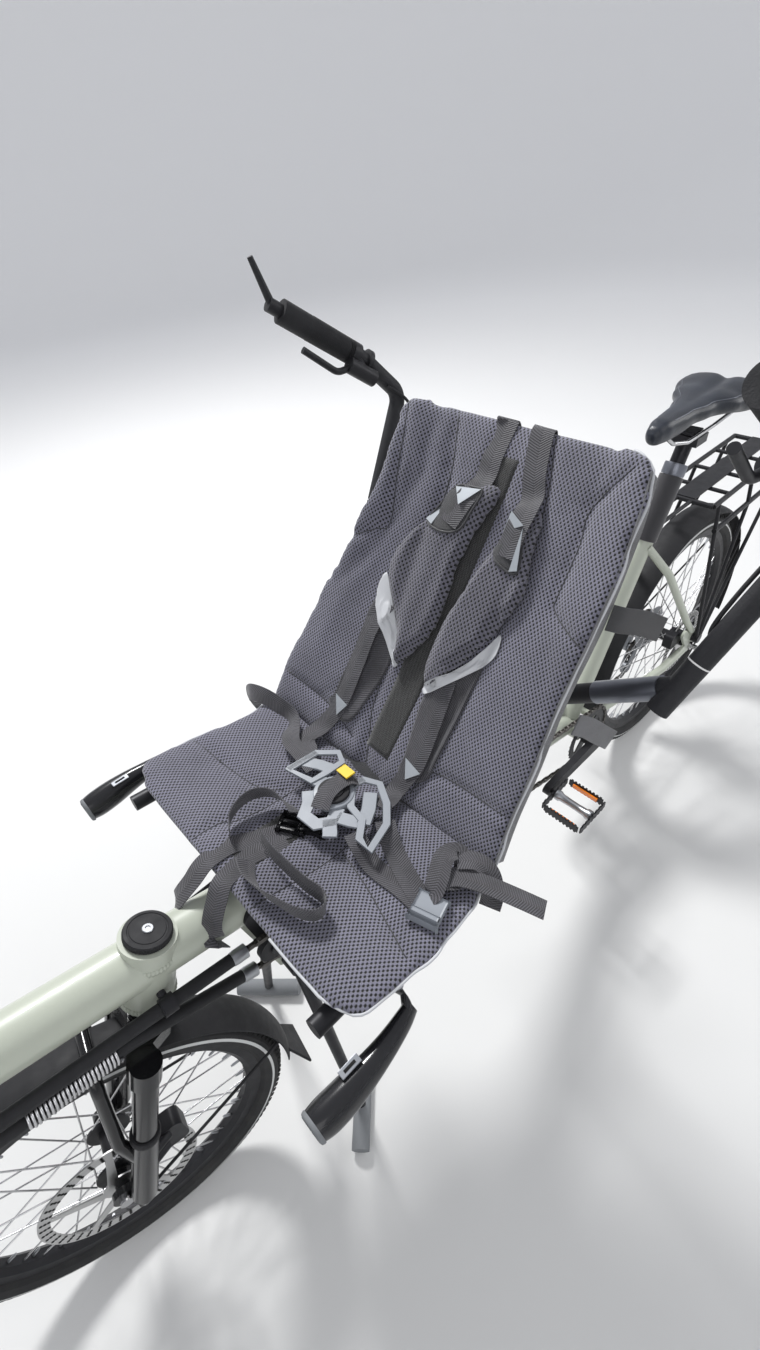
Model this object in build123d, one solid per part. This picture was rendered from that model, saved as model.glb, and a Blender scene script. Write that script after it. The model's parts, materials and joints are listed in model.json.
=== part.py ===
from build123d import *
from math import acos, asin, atan2, cos, degrees, pi, radians, sin, sqrt, tan
import os

# Semi-recumbent tandem bicycle. Millimetres, +X forward, +Y left, +Z up, ground at z = 0.
# Everything is laid out from the front hub and moved to the footprint's centre when it is written.

# Wheels and ground
WHEELBASE = 1458.0
FRONT_TYRE_R = 250.0
REAR_TYRE_R = 300.0
TYRE_W = 47.0
TYRE_H = 44.0
RIM_W = 25.0
RIM_H = 18.0
SPOKE_R = 1.2
SPOKES = 32
SPOKE_GAP = 0.35
AXLE_R = 6.0
FRONT_DISC_R = 101.5
FRONT_DISC_Y = 41.0
REAR_DISC_R = 80.0
REAR_DISC_Y = 52.0
DISC_SLOT = 2.5
RUN_GAP = 0.08
SEAT_GAP = 0.3

# Steering
HEAD_ANGLE = 69.2
FORK_OFFSET = 42.0
STEER_REST = -9.5
HEAD_TUBE_R = 32.0
HEAD_COLLAR_R = 27.0
STEERER_R = 14.3
HEAD_LOW_T = 317.0
HEAD_TOP_T = 424.0
CAP_H = 10.0
LEG_SPAN = 65.0
LEG_FWD = 20.0
STANCHION_R = 15.0
LOWER_R = 17.0
CROWN_LOW_T = 268.0
CROWN_TOP_T = 292.0
LEG_TOP_T = 298.0
LEG_CAP_R = 17.0
LOWER_TOP_T = 150.0
LOWER_END_T = -14.0
ARM_FWD = -25.0
ARM_SIDE = 85.0
ARM_T = 7.0
PIN_R = 4.0
OPEN_GAP = 0.5
ROD_R = 5.5
EYE_R = 10.0
EYE_H = 14.0
NUT_R = 9.0

# Rear steering column and the big handlebar
COLUMN_X = -749.0
COLUMN_Z = 621.0
COLUMN_LOW = -165.0
COLUMN_TOP = -84.0
COLUMN_TUBE_R = 20.0
BAR_R = 12.7
BAR_MID_T = -30.0
CLAMP_LOW = 34.0
CLAMP_HIGH = 20.0
ELBOW = (-776.0, 298.0, 791.0)
BAR_TAIL = 34.0
SLEEVE_FROM = 0.70
SLEEVE_TO = 0.95
BEND = (-889.0, 341.0, 963.0)
GRIP_IN = (-827.0, 338.0, 1028.0)
GRIP_END = (-708.0, 345.0, 1114.0)
GRIP_R = 17.0

# Frame tubes
MAIN_R = 31.0
MAIN_SLOPE = 14.2
MAIN_REF = (-169.0, 601.0)
MAIN_FRONT_X = 115.0
MAIN_BEND_X = -480.0
MAIN_BEND_R = 260.0
TAPER_L = 150.0
BOOM_INSERT = 95.0
BOOM_R = 27.0
FRONT_BB_X = 330.0
BB = (-1068.0, 282.0)
BB_SHELL_R = 21.0
BB_SHELL_W = 73.0
SEAT_TUBE_ANGLE = 64.5
SEAT_TUBE_R = 17.5
SEAT_TUBE_LEN = 490.0
STAY_R = 9.0
STAY_JOIN = 395.0
DROPOUT_SPAN = 67.5
DROP_T = 6.0
HANGER = (6.0, -30.0)
STAY_LAND = (8.0, 46.0)
REAR_CALIPER_AT = (58.0, 44.0)
REAR_POST_AT = (48.0, 58.0)

# Stoker's seat
SEAT_FRONT = (-282.0, 642.0)
SEAT_CREASE = (-523.0, 620.0)
SEAT_TOP = (-812.0, 1005.0)
SEAT_HALF = (227.0, 219.0, 176.0)
PAD_T = 16.0
PAD_EDGE_R = 7.0
PAD_LIFT = 5.0
PAD_SAG = 4.0
PAN_SAG = 10.0
BACK_SAG = 14.0
CREASE_GAP = 1.5
SEAT_RAIL_R = 11.0
RAIL_IN = 28.0
BACK_SET = 1.45
PAN_SET = 0.7
STUB = 16.0
CROSS_R = 9.0
CROSS_DROP = 12.0
CROSS_BACK_S = 168.0
HANDLE_OUT_Y = 31.0
HANDLE_CLAMP_AT = 46.0

# Captain's saddle and post
POST_R = 13.6
POST_LEN = 590.0
POST_INSERT = 150.0
SADDLE_L = 275.0
SADDLE_RISE = 66.0
NOSE_AHEAD = 146.0

# Cranks and pedals
CRANK_L = 170.0
STOKER_RING_R = 62.0
DRIVE_RING_R = 78.0
CHAIN_Y = 48.0
RIGHT_CHAIN_Y = 46.0
PEDAL_Y = 80.0
RING_RIM = 14.0
GUIDE_AT = (22.0, -62.0)
TENSION_AT = (42.0, -112.0)
IDLER_AT = (-300.0, 509.0)
REAR_CRANK_ANGLE = -1.0
FRONT_CRANK_ANGLE = 75.0

# Stand
STAND_PIVOT = (-318.0, 410.0)
STAND_FOOT = (-302.0, 140.0)
FOOT_R = 15.0
FOOT_L = 124.0

# Rack
RACK_Z = 680.0
RACK_HALF = 58.0
RACK_FRONT_X = -1385.0
RACK_BACK_X = -1740.0

HA = radians(HEAD_ANGLE)
UP = Vector(-cos(HA), 0, sin(HA))
FWD = Vector(sin(HA), 0, cos(HA))
LEFT = Vector(0, 1, 0)
FRONT_HUB = Vector(0, 0, FRONT_TYRE_R)
REAR_HUB = Vector(-WHEELBASE, 0, REAR_TYRE_R)
FORK_BASE = FRONT_HUB - FWD * FORK_OFFSET
COLUMN_BASE = Vector(COLUMN_X, 0, COLUMN_Z)


def at(x, y, z):
    return Vector(x, y, z)


def rod(a, b, r, r_end=None):
    """Round bar from a to b, tapered when r_end is given."""
    a, b = Vector(a), Vector(b)
    d = b - a
    low = (Align.CENTER, Align.CENTER, Align.MIN)
    body = Cylinder(r, d.length, align=low) if r_end is None else Cone(r, r_end, d.length, align=low)
    return Plane(origin=a, z_dir=d) * body


def tube(a, b, r, bore):
    """Round bar with a hole right through."""
    a, b = Vector(a), Vector(b)
    d = (b - a).normalized()
    return rod(a, b, r) - rod(a - d, b + d, bore)


def bent(points, r, radius):
    """Round bar bent along a polyline with tangent arcs."""
    path = FilletPolyline(*[tuple(p) for p in points], radius=radius)
    return sweep(Plane(path @ 0, z_dir=path % 0) * Circle(r), path=path)


def slab(outline, y0, y1):
    """Flat plate cut from an XZ outline, from y0 to y1."""
    face = Plane.XZ * make_face(outline)
    low, high = min(y0, y1), max(y0, y1)
    return Pos(0, high, 0) * extrude(face, amount=high - low, dir=(0, -1, 0))


def bar_outline(a, b, ra, rb):
    """Outline of two round ends joined by their common tangents, in XZ."""
    (ax, az), (bx, bz) = a, b
    length = sqrt((bx - ax) ** 2 + (bz - az) ** 2)
    turn = atan2(bz - az, bx - ax)
    lean = acos((ra - rb) / length)

    def point(c, r, angle):
        return (c[0] + r * cos(angle), c[1] + r * sin(angle))

    a_up, a_low = point(a, ra, turn + lean), point(a, ra, turn - lean)
    b_up, b_low = point(b, rb, turn + lean), point(b, rb, turn - lean)
    return [
        Line(a_up, b_up),
        ThreePointArc(b_up, point(b, rb, turn), b_low),
        Line(b_low, a_low),
        ThreePointArc(a_low, point(a, ra, turn + pi), a_up),
    ]


def plate_bar(a, b, ra, rb, y0, y1):
    """Flat link with round ends, from y0 to y1."""
    return slab(bar_outline(a, b, ra, rb), y0, y1)


def turned(profile, centre):
    """Ring turned about the Y axis through centre, from points of radius and y."""
    face = make_face(Polyline(*[(r, y) for r, y in profile], close=True))
    ring = revolve(face, axis=Axis.Y)
    return Pos(*centre) * ring


def arc_shell(centre, radius, half, thick, crown, front_angle, rear_angle):
    """Mudguard: a curved strip over the wheel, angles up from straight ahead."""
    edge = radius - crown
    strip = make_face([
        ThreePointArc((edge, -half), (radius, 0), (edge, half)),
        Line((edge, half), (edge - thick, half)),
        ThreePointArc((edge - thick, half), (radius - thick, 0), (edge - thick, -half)),
        Line((edge - thick, -half), (edge, -half)),
    ])
    shell = revolve(strip, axis=Axis.Y, revolution_arc=rear_angle - front_angle)
    return Pos(*centre) * Rot(0, -rear_angle, 0) * shell


def round_at(centre, r, degrees_up, y=0.0):
    """Point on a circle round centre, in XZ, moved sideways by y."""
    a = radians(degrees_up)
    return Vector(centre) + at(r * cos(a), y, r * sin(a))


def fork_at(fwd, side, t):
    return FORK_BASE + FWD * fwd + LEFT * side + UP * t


def column_at(fwd, side, t):
    return COLUMN_BASE + FWD * fwd + LEFT * side + UP * t


def main_z(x):
    """Height of the main tube's centre line ahead of its bend."""
    return MAIN_REF[1] + tan(radians(MAIN_SLOPE)) * (x - MAIN_REF[0])


MAIN_FRONT = at(MAIN_FRONT_X, 0, main_z(MAIN_FRONT_X))
MAIN_BEND = at(MAIN_BEND_X, 0, main_z(MAIN_BEND_X))
BB_POINT = at(BB[0], 0, BB[1])
FRONT_BB = at(FRONT_BB_X, 0, main_z(FRONT_BB_X))
MAIN_DIR = (MAIN_BEND - MAIN_FRONT).normalized()
BACK_DIR = (BB_POINT - MAIN_BEND).normalized()
ST_DIR = Vector(-cos(radians(SEAT_TUBE_ANGLE)), 0, sin(radians(SEAT_TUBE_ANGLE)))

parts = {}
groups = {}


def keep(body, name, shape):
    """Keep one piece under its node name, in its body's group."""
    parts[name] = shape
    groups.setdefault(body, []).append(name)


# Frame

taper_start = BB_POINT - BACK_DIR * TAPER_L
front_cut = MAIN_FRONT + MAIN_DIR * BOOM_INSERT
main = bent([MAIN_FRONT, MAIN_BEND, taper_start], MAIN_R, MAIN_BEND_R)
main += rod(taper_start, BB_POINT, MAIN_R, BB_SHELL_R)
main += rod(fork_at(0, 0, HEAD_LOW_T + 18), fork_at(0, 0, HEAD_TOP_T), HEAD_TUBE_R)
main += rod(fork_at(0, 0, HEAD_LOW_T), fork_at(0, 0, HEAD_LOW_T + 20), HEAD_COLLAR_R)
main += rod(column_at(0, 0, COLUMN_LOW - 30), column_at(0, 0, COLUMN_TOP), COLUMN_TUBE_R)
main += rod(at(BB[0], -BB_SHELL_W / 2, BB[1]), at(BB[0], BB_SHELL_W / 2, BB[1]), BB_SHELL_R)
main += rod(MAIN_FRONT - MAIN_DIR * 2, MAIN_FRONT + MAIN_DIR * 40, MAIN_R + 4)
main -= rod(MAIN_FRONT - MAIN_DIR * 3, front_cut, BOOM_R + SEAT_GAP)
main -= rod(fork_at(0, 0, HEAD_LOW_T - 1), fork_at(0, 0, HEAD_TOP_T + 1), STEERER_R + RUN_GAP)
main -= rod(column_at(0, 0, COLUMN_LOW), column_at(0, 0, COLUMN_TOP + 1), STEERER_R + RUN_GAP)
main -= rod(at(BB[0], -BB_SHELL_W, BB[1]), at(BB[0], BB_SHELL_W, BB[1]), 12.0 + RUN_GAP)
keep("frame", "main_tube", main)

seat_tube_top = BB_POINT + ST_DIR * SEAT_TUBE_LEN
seat_tube = rod(BB_POINT, seat_tube_top, SEAT_TUBE_R) + rod(
    seat_tube_top - ST_DIR * 22, seat_tube_top, SEAT_TUBE_R + 3)
seat_tube -= rod(seat_tube_top - ST_DIR * 200, seat_tube_top + ST_DIR, POST_R + SEAT_GAP)
seat_tube -= rod(BB_POINT, BB_POINT + ST_DIR * 20, SEAT_TUBE_R + 5)
seat_tube -= main
keep("frame", "seat_tube", seat_tube.solids().sort_by(SortBy.VOLUME)[-1])

boom = rod(front_cut + MAIN_DIR * -3, FRONT_BB, BOOM_R)
boom += rod(FRONT_BB - LEFT * (BB_SHELL_W / 2), FRONT_BB + LEFT * (BB_SHELL_W / 2), BB_SHELL_R)
boom -= rod(FRONT_BB - LEFT * 60, FRONT_BB + LEFT * 60, 12.0 + RUN_GAP)
keep("frame", "boom", boom)

drop_y = DROPOUT_SPAN + DROP_T / 2


def stays(points, r):
    """The same bent stay on both sides."""
    made = []
    for side in (1, -1):
        made.append(bent([(x, side * y, z) for x, y, z in points], r, 40.0))
    return made


def dropout(side):
    y0, y1 = side * DROPOUT_SPAN, side * (DROPOUT_SPAN + DROP_T)
    hx, hz = REAR_HUB.X, REAR_HUB.Z
    plate = plate_bar((hx, hz), (hx + 42, hz + 2), 17, 11, y0, y1)
    plate += plate_bar((hx, hz), (hx + STAY_LAND[0], hz + STAY_LAND[1] - 6), 17, 10, y0, y1)
    if side < 0:
        plate += plate_bar((hx, hz), (hx + HANGER[0], hz + HANGER[1]), 17, 11, y0, y1)
    else:
        plate += plate_bar((hx, hz), (hx + REAR_POST_AT[0], hz + REAR_POST_AT[1]), 14, 10, y0, y1)
    return plate - rod(at(hx, y0 - side, hz), at(hx, y1 + side, hz), AXLE_R + RUN_GAP)


chain_runs = stays([
    (BB[0] - 14, 22, BB[1] + 1),
    (BB[0] - 92, 34, BB[1] + 4),
    (REAR_HUB.X + 118, drop_y - 3, REAR_HUB.Z - 2),
    (REAR_HUB.X + 34, drop_y, REAR_HUB.Z + 2),
], STAY_R)
chain_stays = chain_runs[0] + chain_runs[1] + dropout(1) + dropout(-1)
chain_stays += rod(at(BB[0] - 52, -30, BB[1] + 3), at(BB[0] - 52, 30, BB[1] + 3), 8)
chain_stays -= main
keep("frame", "chain_stays", chain_stays)

apex = BB_POINT + ST_DIR * STAY_JOIN
seat_runs = stays([
    (apex.X + 2, 12, apex.Z + 6),
    (apex.X - 46, 48, apex.Z - 66),
    (REAR_HUB.X + STAY_LAND[0] + 34, drop_y - 5, REAR_HUB.Z + STAY_LAND[1] + 43),
    (REAR_HUB.X + STAY_LAND[0], drop_y - 1, REAR_HUB.Z + STAY_LAND[1]),
], STAY_R - 1)
seat_stays = seat_runs[0] + seat_runs[1]
seat_stays -= rod(BB_POINT, seat_tube_top, SEAT_TUBE_R)
seat_stays -= chain_stays
keep("frame", "seat_stays", Compound(seat_stays.solids().sort_by(SortBy.VOLUME)[-2:]))

# Wheels


def wheel(body, prefix, hub, tyre_r, flange_r, left_y, right_y, old):
    """Tyre, rim, spokes and hub of one wheel."""
    rim_out = tyre_r - TYRE_H + 4
    half = TYRE_W / 2
    bead = RIM_W / 2 - 2
    tyre = turned([
        (rim_out, -bead), (rim_out + 8, -half + 4), (rim_out + 18, -half), (tyre_r - 12, -half + 3),
        (tyre_r - 3, -half + 11), (tyre_r, -6), (tyre_r, 6), (tyre_r - 3, half - 11),
        (tyre_r - 12, half - 3), (rim_out + 18, half), (rim_out + 8, half - 4), (rim_out, bead),
    ], hub)
    keep(body, prefix + "_tyre", tyre)
    rim_in = rim_out - RIM_H
    rim = turned([
        (rim_out - SEAT_GAP, -bead), (rim_out + 3, -bead - 1), (rim_out + 3, -RIM_W / 2 - 1),
        (rim_in + 8, -RIM_W / 2), (rim_in, -6), (rim_in, 6), (rim_in + 8, RIM_W / 2),
        (rim_out + 3, RIM_W / 2 + 1), (rim_out + 3, bead + 1), (rim_out - SEAT_GAP, bead),
    ], hub)
    keep(body, prefix + "_rim", rim - tyre)
    shell = rod(hub + LEFT * (right_y - 4), hub + LEFT * (left_y + 4), 14)
    shell += rod(hub - LEFT * (old / 2 - 1), hub + LEFT * (old / 2 - 1), 9.5)
    for y in (left_y, right_y):
        shell += rod(hub + LEFT * (y - 1.6), hub + LEFT * (y + 1.6), flange_r)
    shell -= rod(hub - LEFT * old, hub + LEFT * old, AXLE_R + RUN_GAP)
    keep(body, prefix + "_hub", shell)
    spokes = []
    pair = SPOKES // 4
    for y, phase in ((left_y, 0.0), (right_y, 0.5)):
        for k in range(pair):
            for lead, out in ((1, 1.0), (-1, -1.0)):
                base = 2 * pi * (k + phase) / pair + (0.0 if lead > 0 else pi / pair)
                swing = lead * radians(52)
                inner_y = y + out
                r0 = flange_r + SPOKE_R + SPOKE_GAP
                r1 = rim_in - SPOKE_GAP
                a = hub + at(r0 * cos(base), inner_y, r0 * sin(base))
                b = hub + at(r1 * cos(base + swing), 3.0 * (1 if y > 0 else -1), r1 * sin(base + swing))
                spokes.append(rod(a, b, SPOKE_R))
    keep(body, prefix + "_spokes", Compound(spokes))


def rotor(centre_y, hub, r_out):
    """Brake disc: a ring on a five-armed carrier."""
    y0, y1 = centre_y - 1.0, centre_y + 1.0
    disc = rod(hub + LEFT * y0, hub + LEFT * y1, r_out) - rod(
        hub + LEFT * (y0 - 1), hub + LEFT * (y1 + 1), r_out - 15)
    for k in range(5):
        a = 2 * pi * k / 5
        start = (hub.X + 18 * cos(a), hub.Z + 18 * sin(a))
        end = (hub.X + (r_out - 14) * cos(a + 0.5), hub.Z + (r_out - 14) * sin(a + 0.5))
        disc += plate_bar(start, end, 7, 4, y0, y1)
    disc += rod(hub + LEFT * y0, hub + LEFT * y1, 24)
    return disc


FRONT_OLD = 100.0
REAR_OLD = 135.0
wheel("front_wheel", "front", FRONT_HUB, FRONT_TYRE_R, 29.0, 24.0, -33.0, FRONT_OLD)
wheel("rear_wheel", "rear", REAR_HUB, REAR_TYRE_R, 29.0, 32.0, -20.0, REAR_OLD)
front_rotor = rotor(FRONT_DISC_Y, FRONT_HUB, FRONT_DISC_R) - rod(FRONT_HUB, FRONT_HUB + LEFT * 60, 9.5)
keep("front_wheel", "front_rotor", front_rotor)
rear_rotor = rotor(REAR_DISC_Y, REAR_HUB, REAR_DISC_R) - rod(REAR_HUB, REAR_HUB + LEFT * 60, 9.5)
keep("rear_wheel", "rear_rotor", rear_rotor)
SPROCKETS = ((58, -27), (52, -31.5), (46, -36), (40, -40.5), (34, -45), (28, -49.5), (22, -54))
cassette = rod(REAR_HUB + LEFT * -25.5, REAR_HUB + LEFT * -57, 16)
for r, y in SPROCKETS:
    cassette += rod(REAR_HUB + LEFT * (y - 1), REAR_HUB + LEFT * (y + 1), r)
cassette -= rod(REAR_HUB + LEFT * -20, REAR_HUB + LEFT * -60, 9.5)
cassette -= parts["rear_hub"]
keep("rear_wheel", "cassette", cassette)

# Fork

crown_outline = [(-26, 0), (-20, 28), (6, 44), (2, 60), (8, 78), (20, 80), (32, 78), (40, 60), (34, 40), (26, 0)]
full = crown_outline + [(f, -s) for f, s in reversed(crown_outline[1:-1])]
crown_plane = Plane(origin=fork_at(0, 0, CROWN_LOW_T), x_dir=FWD, z_dir=UP)
crown = extrude(crown_plane * make_face(Polyline(*full, close=True)), amount=CROWN_TOP_T - CROWN_LOW_T)
crown += rod(fork_at(0, 0, CROWN_TOP_T - 2), fork_at(0, 0, HEAD_TOP_T), STEERER_R)
for side in (1, -1):
    crown += rod(fork_at(LEG_FWD, side * LEG_SPAN, CROWN_LOW_T), fork_at(LEG_FWD, side * LEG_SPAN, LEG_TOP_T), LEG_CAP_R + 1)
    crown += rod(fork_at(LEG_FWD, side * LEG_SPAN, LOWER_TOP_T + 1), fork_at(LEG_FWD, side * LEG_SPAN, CROWN_LOW_T + 2), STANCHION_R)
arm_low = CROWN_TOP_T + 3
arm = extrude(
    Plane(origin=fork_at(0, 0, arm_low), x_dir=FWD, z_dir=UP) * make_face(bar_outline(
        (0, 0), (ARM_FWD, -ARM_SIDE), 22, 10)), amount=ARM_T)
crown += arm
crown += rod(fork_at(ARM_FWD, -ARM_SIDE, arm_low), fork_at(ARM_FWD, -ARM_SIDE, arm_low + ARM_T + EYE_H + 3), PIN_R)
keep("fork", "fork_crown", crown)

lowers = None
for side in (1, -1):
    leg = rod(fork_at(LEG_FWD, side * LEG_SPAN, LOWER_END_T + 22), fork_at(LEG_FWD, side * LEG_SPAN, LOWER_TOP_T), LOWER_R)
    leg += rod(fork_at(LEG_FWD, side * LEG_SPAN, LOWER_END_T), fork_at(LEG_FWD, side * LEG_SPAN, LOWER_END_T + 22), LOWER_R - 7, LOWER_R)
    drop = extrude(
        Plane(origin=fork_at(0, side * (FRONT_OLD / 2), 0), x_dir=FWD, z_dir=LEFT * -1) * make_face(
            bar_outline((FORK_OFFSET, 0), (LEG_FWD, -20), 16, 16)), amount=9 * (-side))
    leg += drop
    lowers = leg if lowers is None else lowers + leg
arch_pts = [fork_at(f, y, t) for f, y, t in (
    (LEG_FWD + 8, LEG_SPAN, 100), (LEG_FWD + 30, LEG_SPAN - 2, 152), (LEG_FWD + 50, LEG_SPAN - 16, 278),
    (LEG_FWD + 50, -LEG_SPAN + 16, 278), (LEG_FWD + 30, -LEG_SPAN + 2, 152), (LEG_FWD + 8, -LEG_SPAN, 100))]
lowers += bent(arch_pts, 8.0, 22.0)
lowers -= rod(FRONT_HUB - LEFT * 90, FRONT_HUB + LEFT * 90, AXLE_R + SEAT_GAP)
for side in (1, -1):
    lowers -= rod(FRONT_HUB + LEFT * (side * 59), FRONT_HUB + LEFT * (side * 90), NUT_R + 2)
keep("fork", "fork_lowers", lowers)
axle = rod(FRONT_HUB - LEFT * 62, FRONT_HUB + LEFT * 62, AXLE_R)
axle += rod(FRONT_HUB + LEFT * 59, FRONT_HUB + LEFT * 66, NUT_R)
axle += rod(FRONT_HUB - LEFT * 66, FRONT_HUB - LEFT * 59, NUT_R)
keep("fork", "front_axle", axle)
cap = rod(fork_at(0, 0, HEAD_TOP_T + SEAT_GAP), fork_at(0, 0, HEAD_TOP_T + CAP_H), HEAD_TUBE_R - 0.5)
keep("fork", "head_cap", cap)

FRONT_GUARD_R = 265.0
REAR_GUARD_R = 316.0
GUARD_T = 2.0
GUARD_CROWN = 9.0
WIRE_R = 2.2
front_guard = arc_shell(FRONT_HUB, FRONT_GUARD_R, 30.0, GUARD_T, GUARD_CROWN, 35.0, 188.0)
front_guard += rod(fork_at(10, 0, FRONT_GUARD_R - 3.5), fork_at(10, 0, CROWN_LOW_T), 6)
for side in (1, -1):
    wire_top = round_at(FRONT_HUB, FRONT_GUARD_R - GUARD_CROWN - 0.5, 172.0, side * 29.0)
    front_guard += rod(wire_top, fork_at(LEG_FWD - 10, side * LEG_SPAN, 8), WIRE_R)
flap_top = round_at(FRONT_HUB, FRONT_GUARD_R - 7, 184.0)
flap_end = flap_top + at(-22, 0, -62)
flap = loft([Plane(origin=p, x_dir=LEFT, z_dir=flap_end - flap_top) * RectangleRounded(w, 4, 1.5)
             for p, w in ((flap_top, 44.0), (flap_end, 68.0))])
front_guard += flap
front_guard -= lowers
front_guard -= crown
keep("fork", "front_mudguard", front_guard.solids().sort_by(SortBy.VOLUME)[-1])

rear_guard = arc_shell(REAR_HUB, REAR_GUARD_R, 32.0, GUARD_T, GUARD_CROWN, -10.0, 195.0)
st_normal = Vector(ST_DIR.Z, 0, -ST_DIR.X)
st_gap = (BB_POINT - REAR_HUB).dot(st_normal)
rear_guard += rod(REAR_HUB + st_normal * (REAR_GUARD_R - 3), REAR_HUB + st_normal * st_gap, 6)
for side in (1, -1):
    wire_top = round_at(REAR_HUB, REAR_GUARD_R - GUARD_CROWN - 0.5, 152.0, side * 31.0)
    rear_guard += rod(wire_top, REAR_HUB + at(-10, side * (DROPOUT_SPAN + DROP_T / 2), 10), WIRE_R)
rear_guard -= chain_stays
rear_guard -= rod(BB_POINT, seat_tube_top, SEAT_TUBE_R)
keep("frame", "rear_mudguard", rear_guard.solids().sort_by(SortBy.VOLUME)[-1])

# Steering column and handlebar

stem_low = COLUMN_TOP + SEAT_GAP
arm_c = stem_low + 2
pin_low = arm_c - SEAT_GAP - EYE_H - 3
bar_mid_low = column_at(0, 0, BAR_MID_T - CLAMP_LOW + 1)
column = rod(column_at(0, 0, COLUMN_LOW + 2), bar_mid_low, STEERER_R)
column += rod(column_at(0, 0, stem_low), column_at(0, 0, stem_low + ARM_T + 4), COLUMN_TUBE_R + 2)
column += extrude(
    Plane(origin=column_at(0, 0, arm_c), x_dir=FWD, z_dir=UP) * make_face(bar_outline(
        (0, 0), (ARM_FWD, -ARM_SIDE), 22, 10)), amount=ARM_T)
column += rod(column_at(ARM_FWD, -ARM_SIDE, pin_low), column_at(ARM_FWD, -ARM_SIDE, arm_c + 1), PIN_R)
column += rod(column_at(0, 0, BAR_MID_T - CLAMP_LOW), column_at(0, 0, BAR_MID_T + CLAMP_HIGH), COLUMN_TUBE_R + 1)
bar_mid = column_at(0, 0, BAR_MID_T)


def sided(point, side):
    return Vector(point[0], side * point[1], point[2])


bar = Pos(*bar_mid) * Sphere(BAR_R)
sleeves = []
for side in (1, -1):
    elbow, bend = sided(ELBOW, side), sided(BEND, side)
    tail = elbow + (elbow - bend).normalized() * BAR_TAIL
    low_run = rod(bar_mid, elbow, BAR_R)
    upright = bent([sided(GRIP_END, side), sided(GRIP_IN, side), bend, tail], BAR_R, 24.0)
    bar += low_run + upright
    reach = elbow - bar_mid
    sleeve = tube(bar_mid + reach * SLEEVE_FROM, bar_mid + reach * SLEEVE_TO, BAR_R + 1.4, BAR_R)
    sleeves.append((sleeve - upright).solids().sort_by(SortBy.VOLUME)[-1])
column -= bar
keep("handlebar", "steering_column", column.solids().sort_by(SortBy.VOLUME)[-1])
keep("handlebar", "handlebar_bar", bar)
keep("handlebar", "bar_sleeves", Compound(sleeves))
grips = []
levers = []
LEVER_CLAMP_R = 17.5
for side in (1, -1):
    a, b = sided(GRIP_IN, side), sided(GRIP_END, side)
    d = (b - a).normalized()
    grips.append(rod(a + d * 36, b + d * 4, GRIP_R) - rod(a, b + d * 0.3, BAR_R + SEAT_GAP))
    body = a + d * 22 + at(0, side * -20, -24)
    lever = rod(a + d * 15, a + d * 28, LEVER_CLAMP_R)
    lever += rod(a + d * 22, body, 8, 11) + rod(body - d * 24, body + d * 26, 12)
    lever += bent([body + d * 18, body + d * 54 + at(0, side * -4, -22), body + d * 112 + at(0, 0, -16)], 5.0, 20.0)
    levers.append(lever - rod(a, b, BAR_R + SEAT_GAP / 3))
shift_root = sided(GRIP_END, -1) + d * 4.5
shifter = rod(shift_root, shift_root + d * 20, 10)
shifter += rod(shift_root + d * 12, shift_root + d * 34 + at(0, 0, 48), 6, 4)
levers.append(shifter)
keep("handlebar", "grips", Compound(grips))
keep("handlebar", "control_levers", Compound(levers))

# Tie rod between the fork's arm and the column's arm

eye_low_f = arm_low + ARM_T + SEAT_GAP
eye_low_c = arm_c - SEAT_GAP - EYE_H
eye_f = fork_at(ARM_FWD, -ARM_SIDE, eye_low_f)
eye_c = column_at(ARM_FWD, -ARM_SIDE, eye_low_c)
tie = rod(eye_f, eye_f + UP * EYE_H, EYE_R) + rod(eye_c, eye_c + UP * EYE_H, EYE_R)
tie += rod(eye_f + UP * (EYE_H / 2), eye_c + UP * (EYE_H / 2), ROD_R)
tie -= rod(eye_f - UP * 2, eye_f + UP * (EYE_H + 2), PIN_R + RUN_GAP)
tie -= rod(eye_c - UP * 2, eye_c + UP * (EYE_H + 2), PIN_R + OPEN_GAP)
keep("tie_rod", "tie_rod", tie)

# Cranksets and pedals


def crank_arm(centre, angle, y0, y1):
    """Tapered crank arm from the spindle to the pedal's eye."""
    end = (centre.X + CRANK_L * cos(radians(angle)), centre.Z + CRANK_L * sin(radians(angle)))
    return plate_bar((centre.X, centre.Z), end, 17, 12, y0, y1)


def crankset(body, name, centre, angle, rings):
    """Spindle, two arms and the chainrings, given as side place and radius."""
    shape = rod(centre - LEFT * (PEDAL_Y - 8), centre + LEFT * (PEDAL_Y - 8), 12)
    shape += crank_arm(centre, angle, PEDAL_Y - 14, PEDAL_Y)
    shape += crank_arm(centre, angle + 180, -PEDAL_Y, -PEDAL_Y + 14)
    for y, ring_r in rings:
        ring = rod(centre + LEFT * (y - 1.2), centre + LEFT * (y + 1.2), ring_r)
        ring -= rod(centre + LEFT * (y - 3), centre + LEFT * (y + 3), ring_r - RING_RIM)
        for k in range(4):
            a = radians(45 + 90 * k)
            ring += plate_bar((centre.X, centre.Z), (
                centre.X + (ring_r - 9) * cos(a), centre.Z + (ring_r - 9) * sin(a)), 16, 8, y - 1.2, y + 1.2)
        shape += ring
        side = 1 if y > 0 else -1
        shape += rod(centre + LEFT * (y - side), centre + LEFT * (side * (PEDAL_Y - 13)), 19)
    for side, turn in ((1, 0), (-1, 180)):
        a = radians(angle + turn)
        eye = centre + at(CRANK_L * cos(a), 0, CRANK_L * sin(a))
        shape += rod(eye + LEFT * (side * (PEDAL_Y - 2)), eye + LEFT * (side * (PEDAL_Y + 92)), 4.5)
    keep(body, name, shape)


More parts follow.
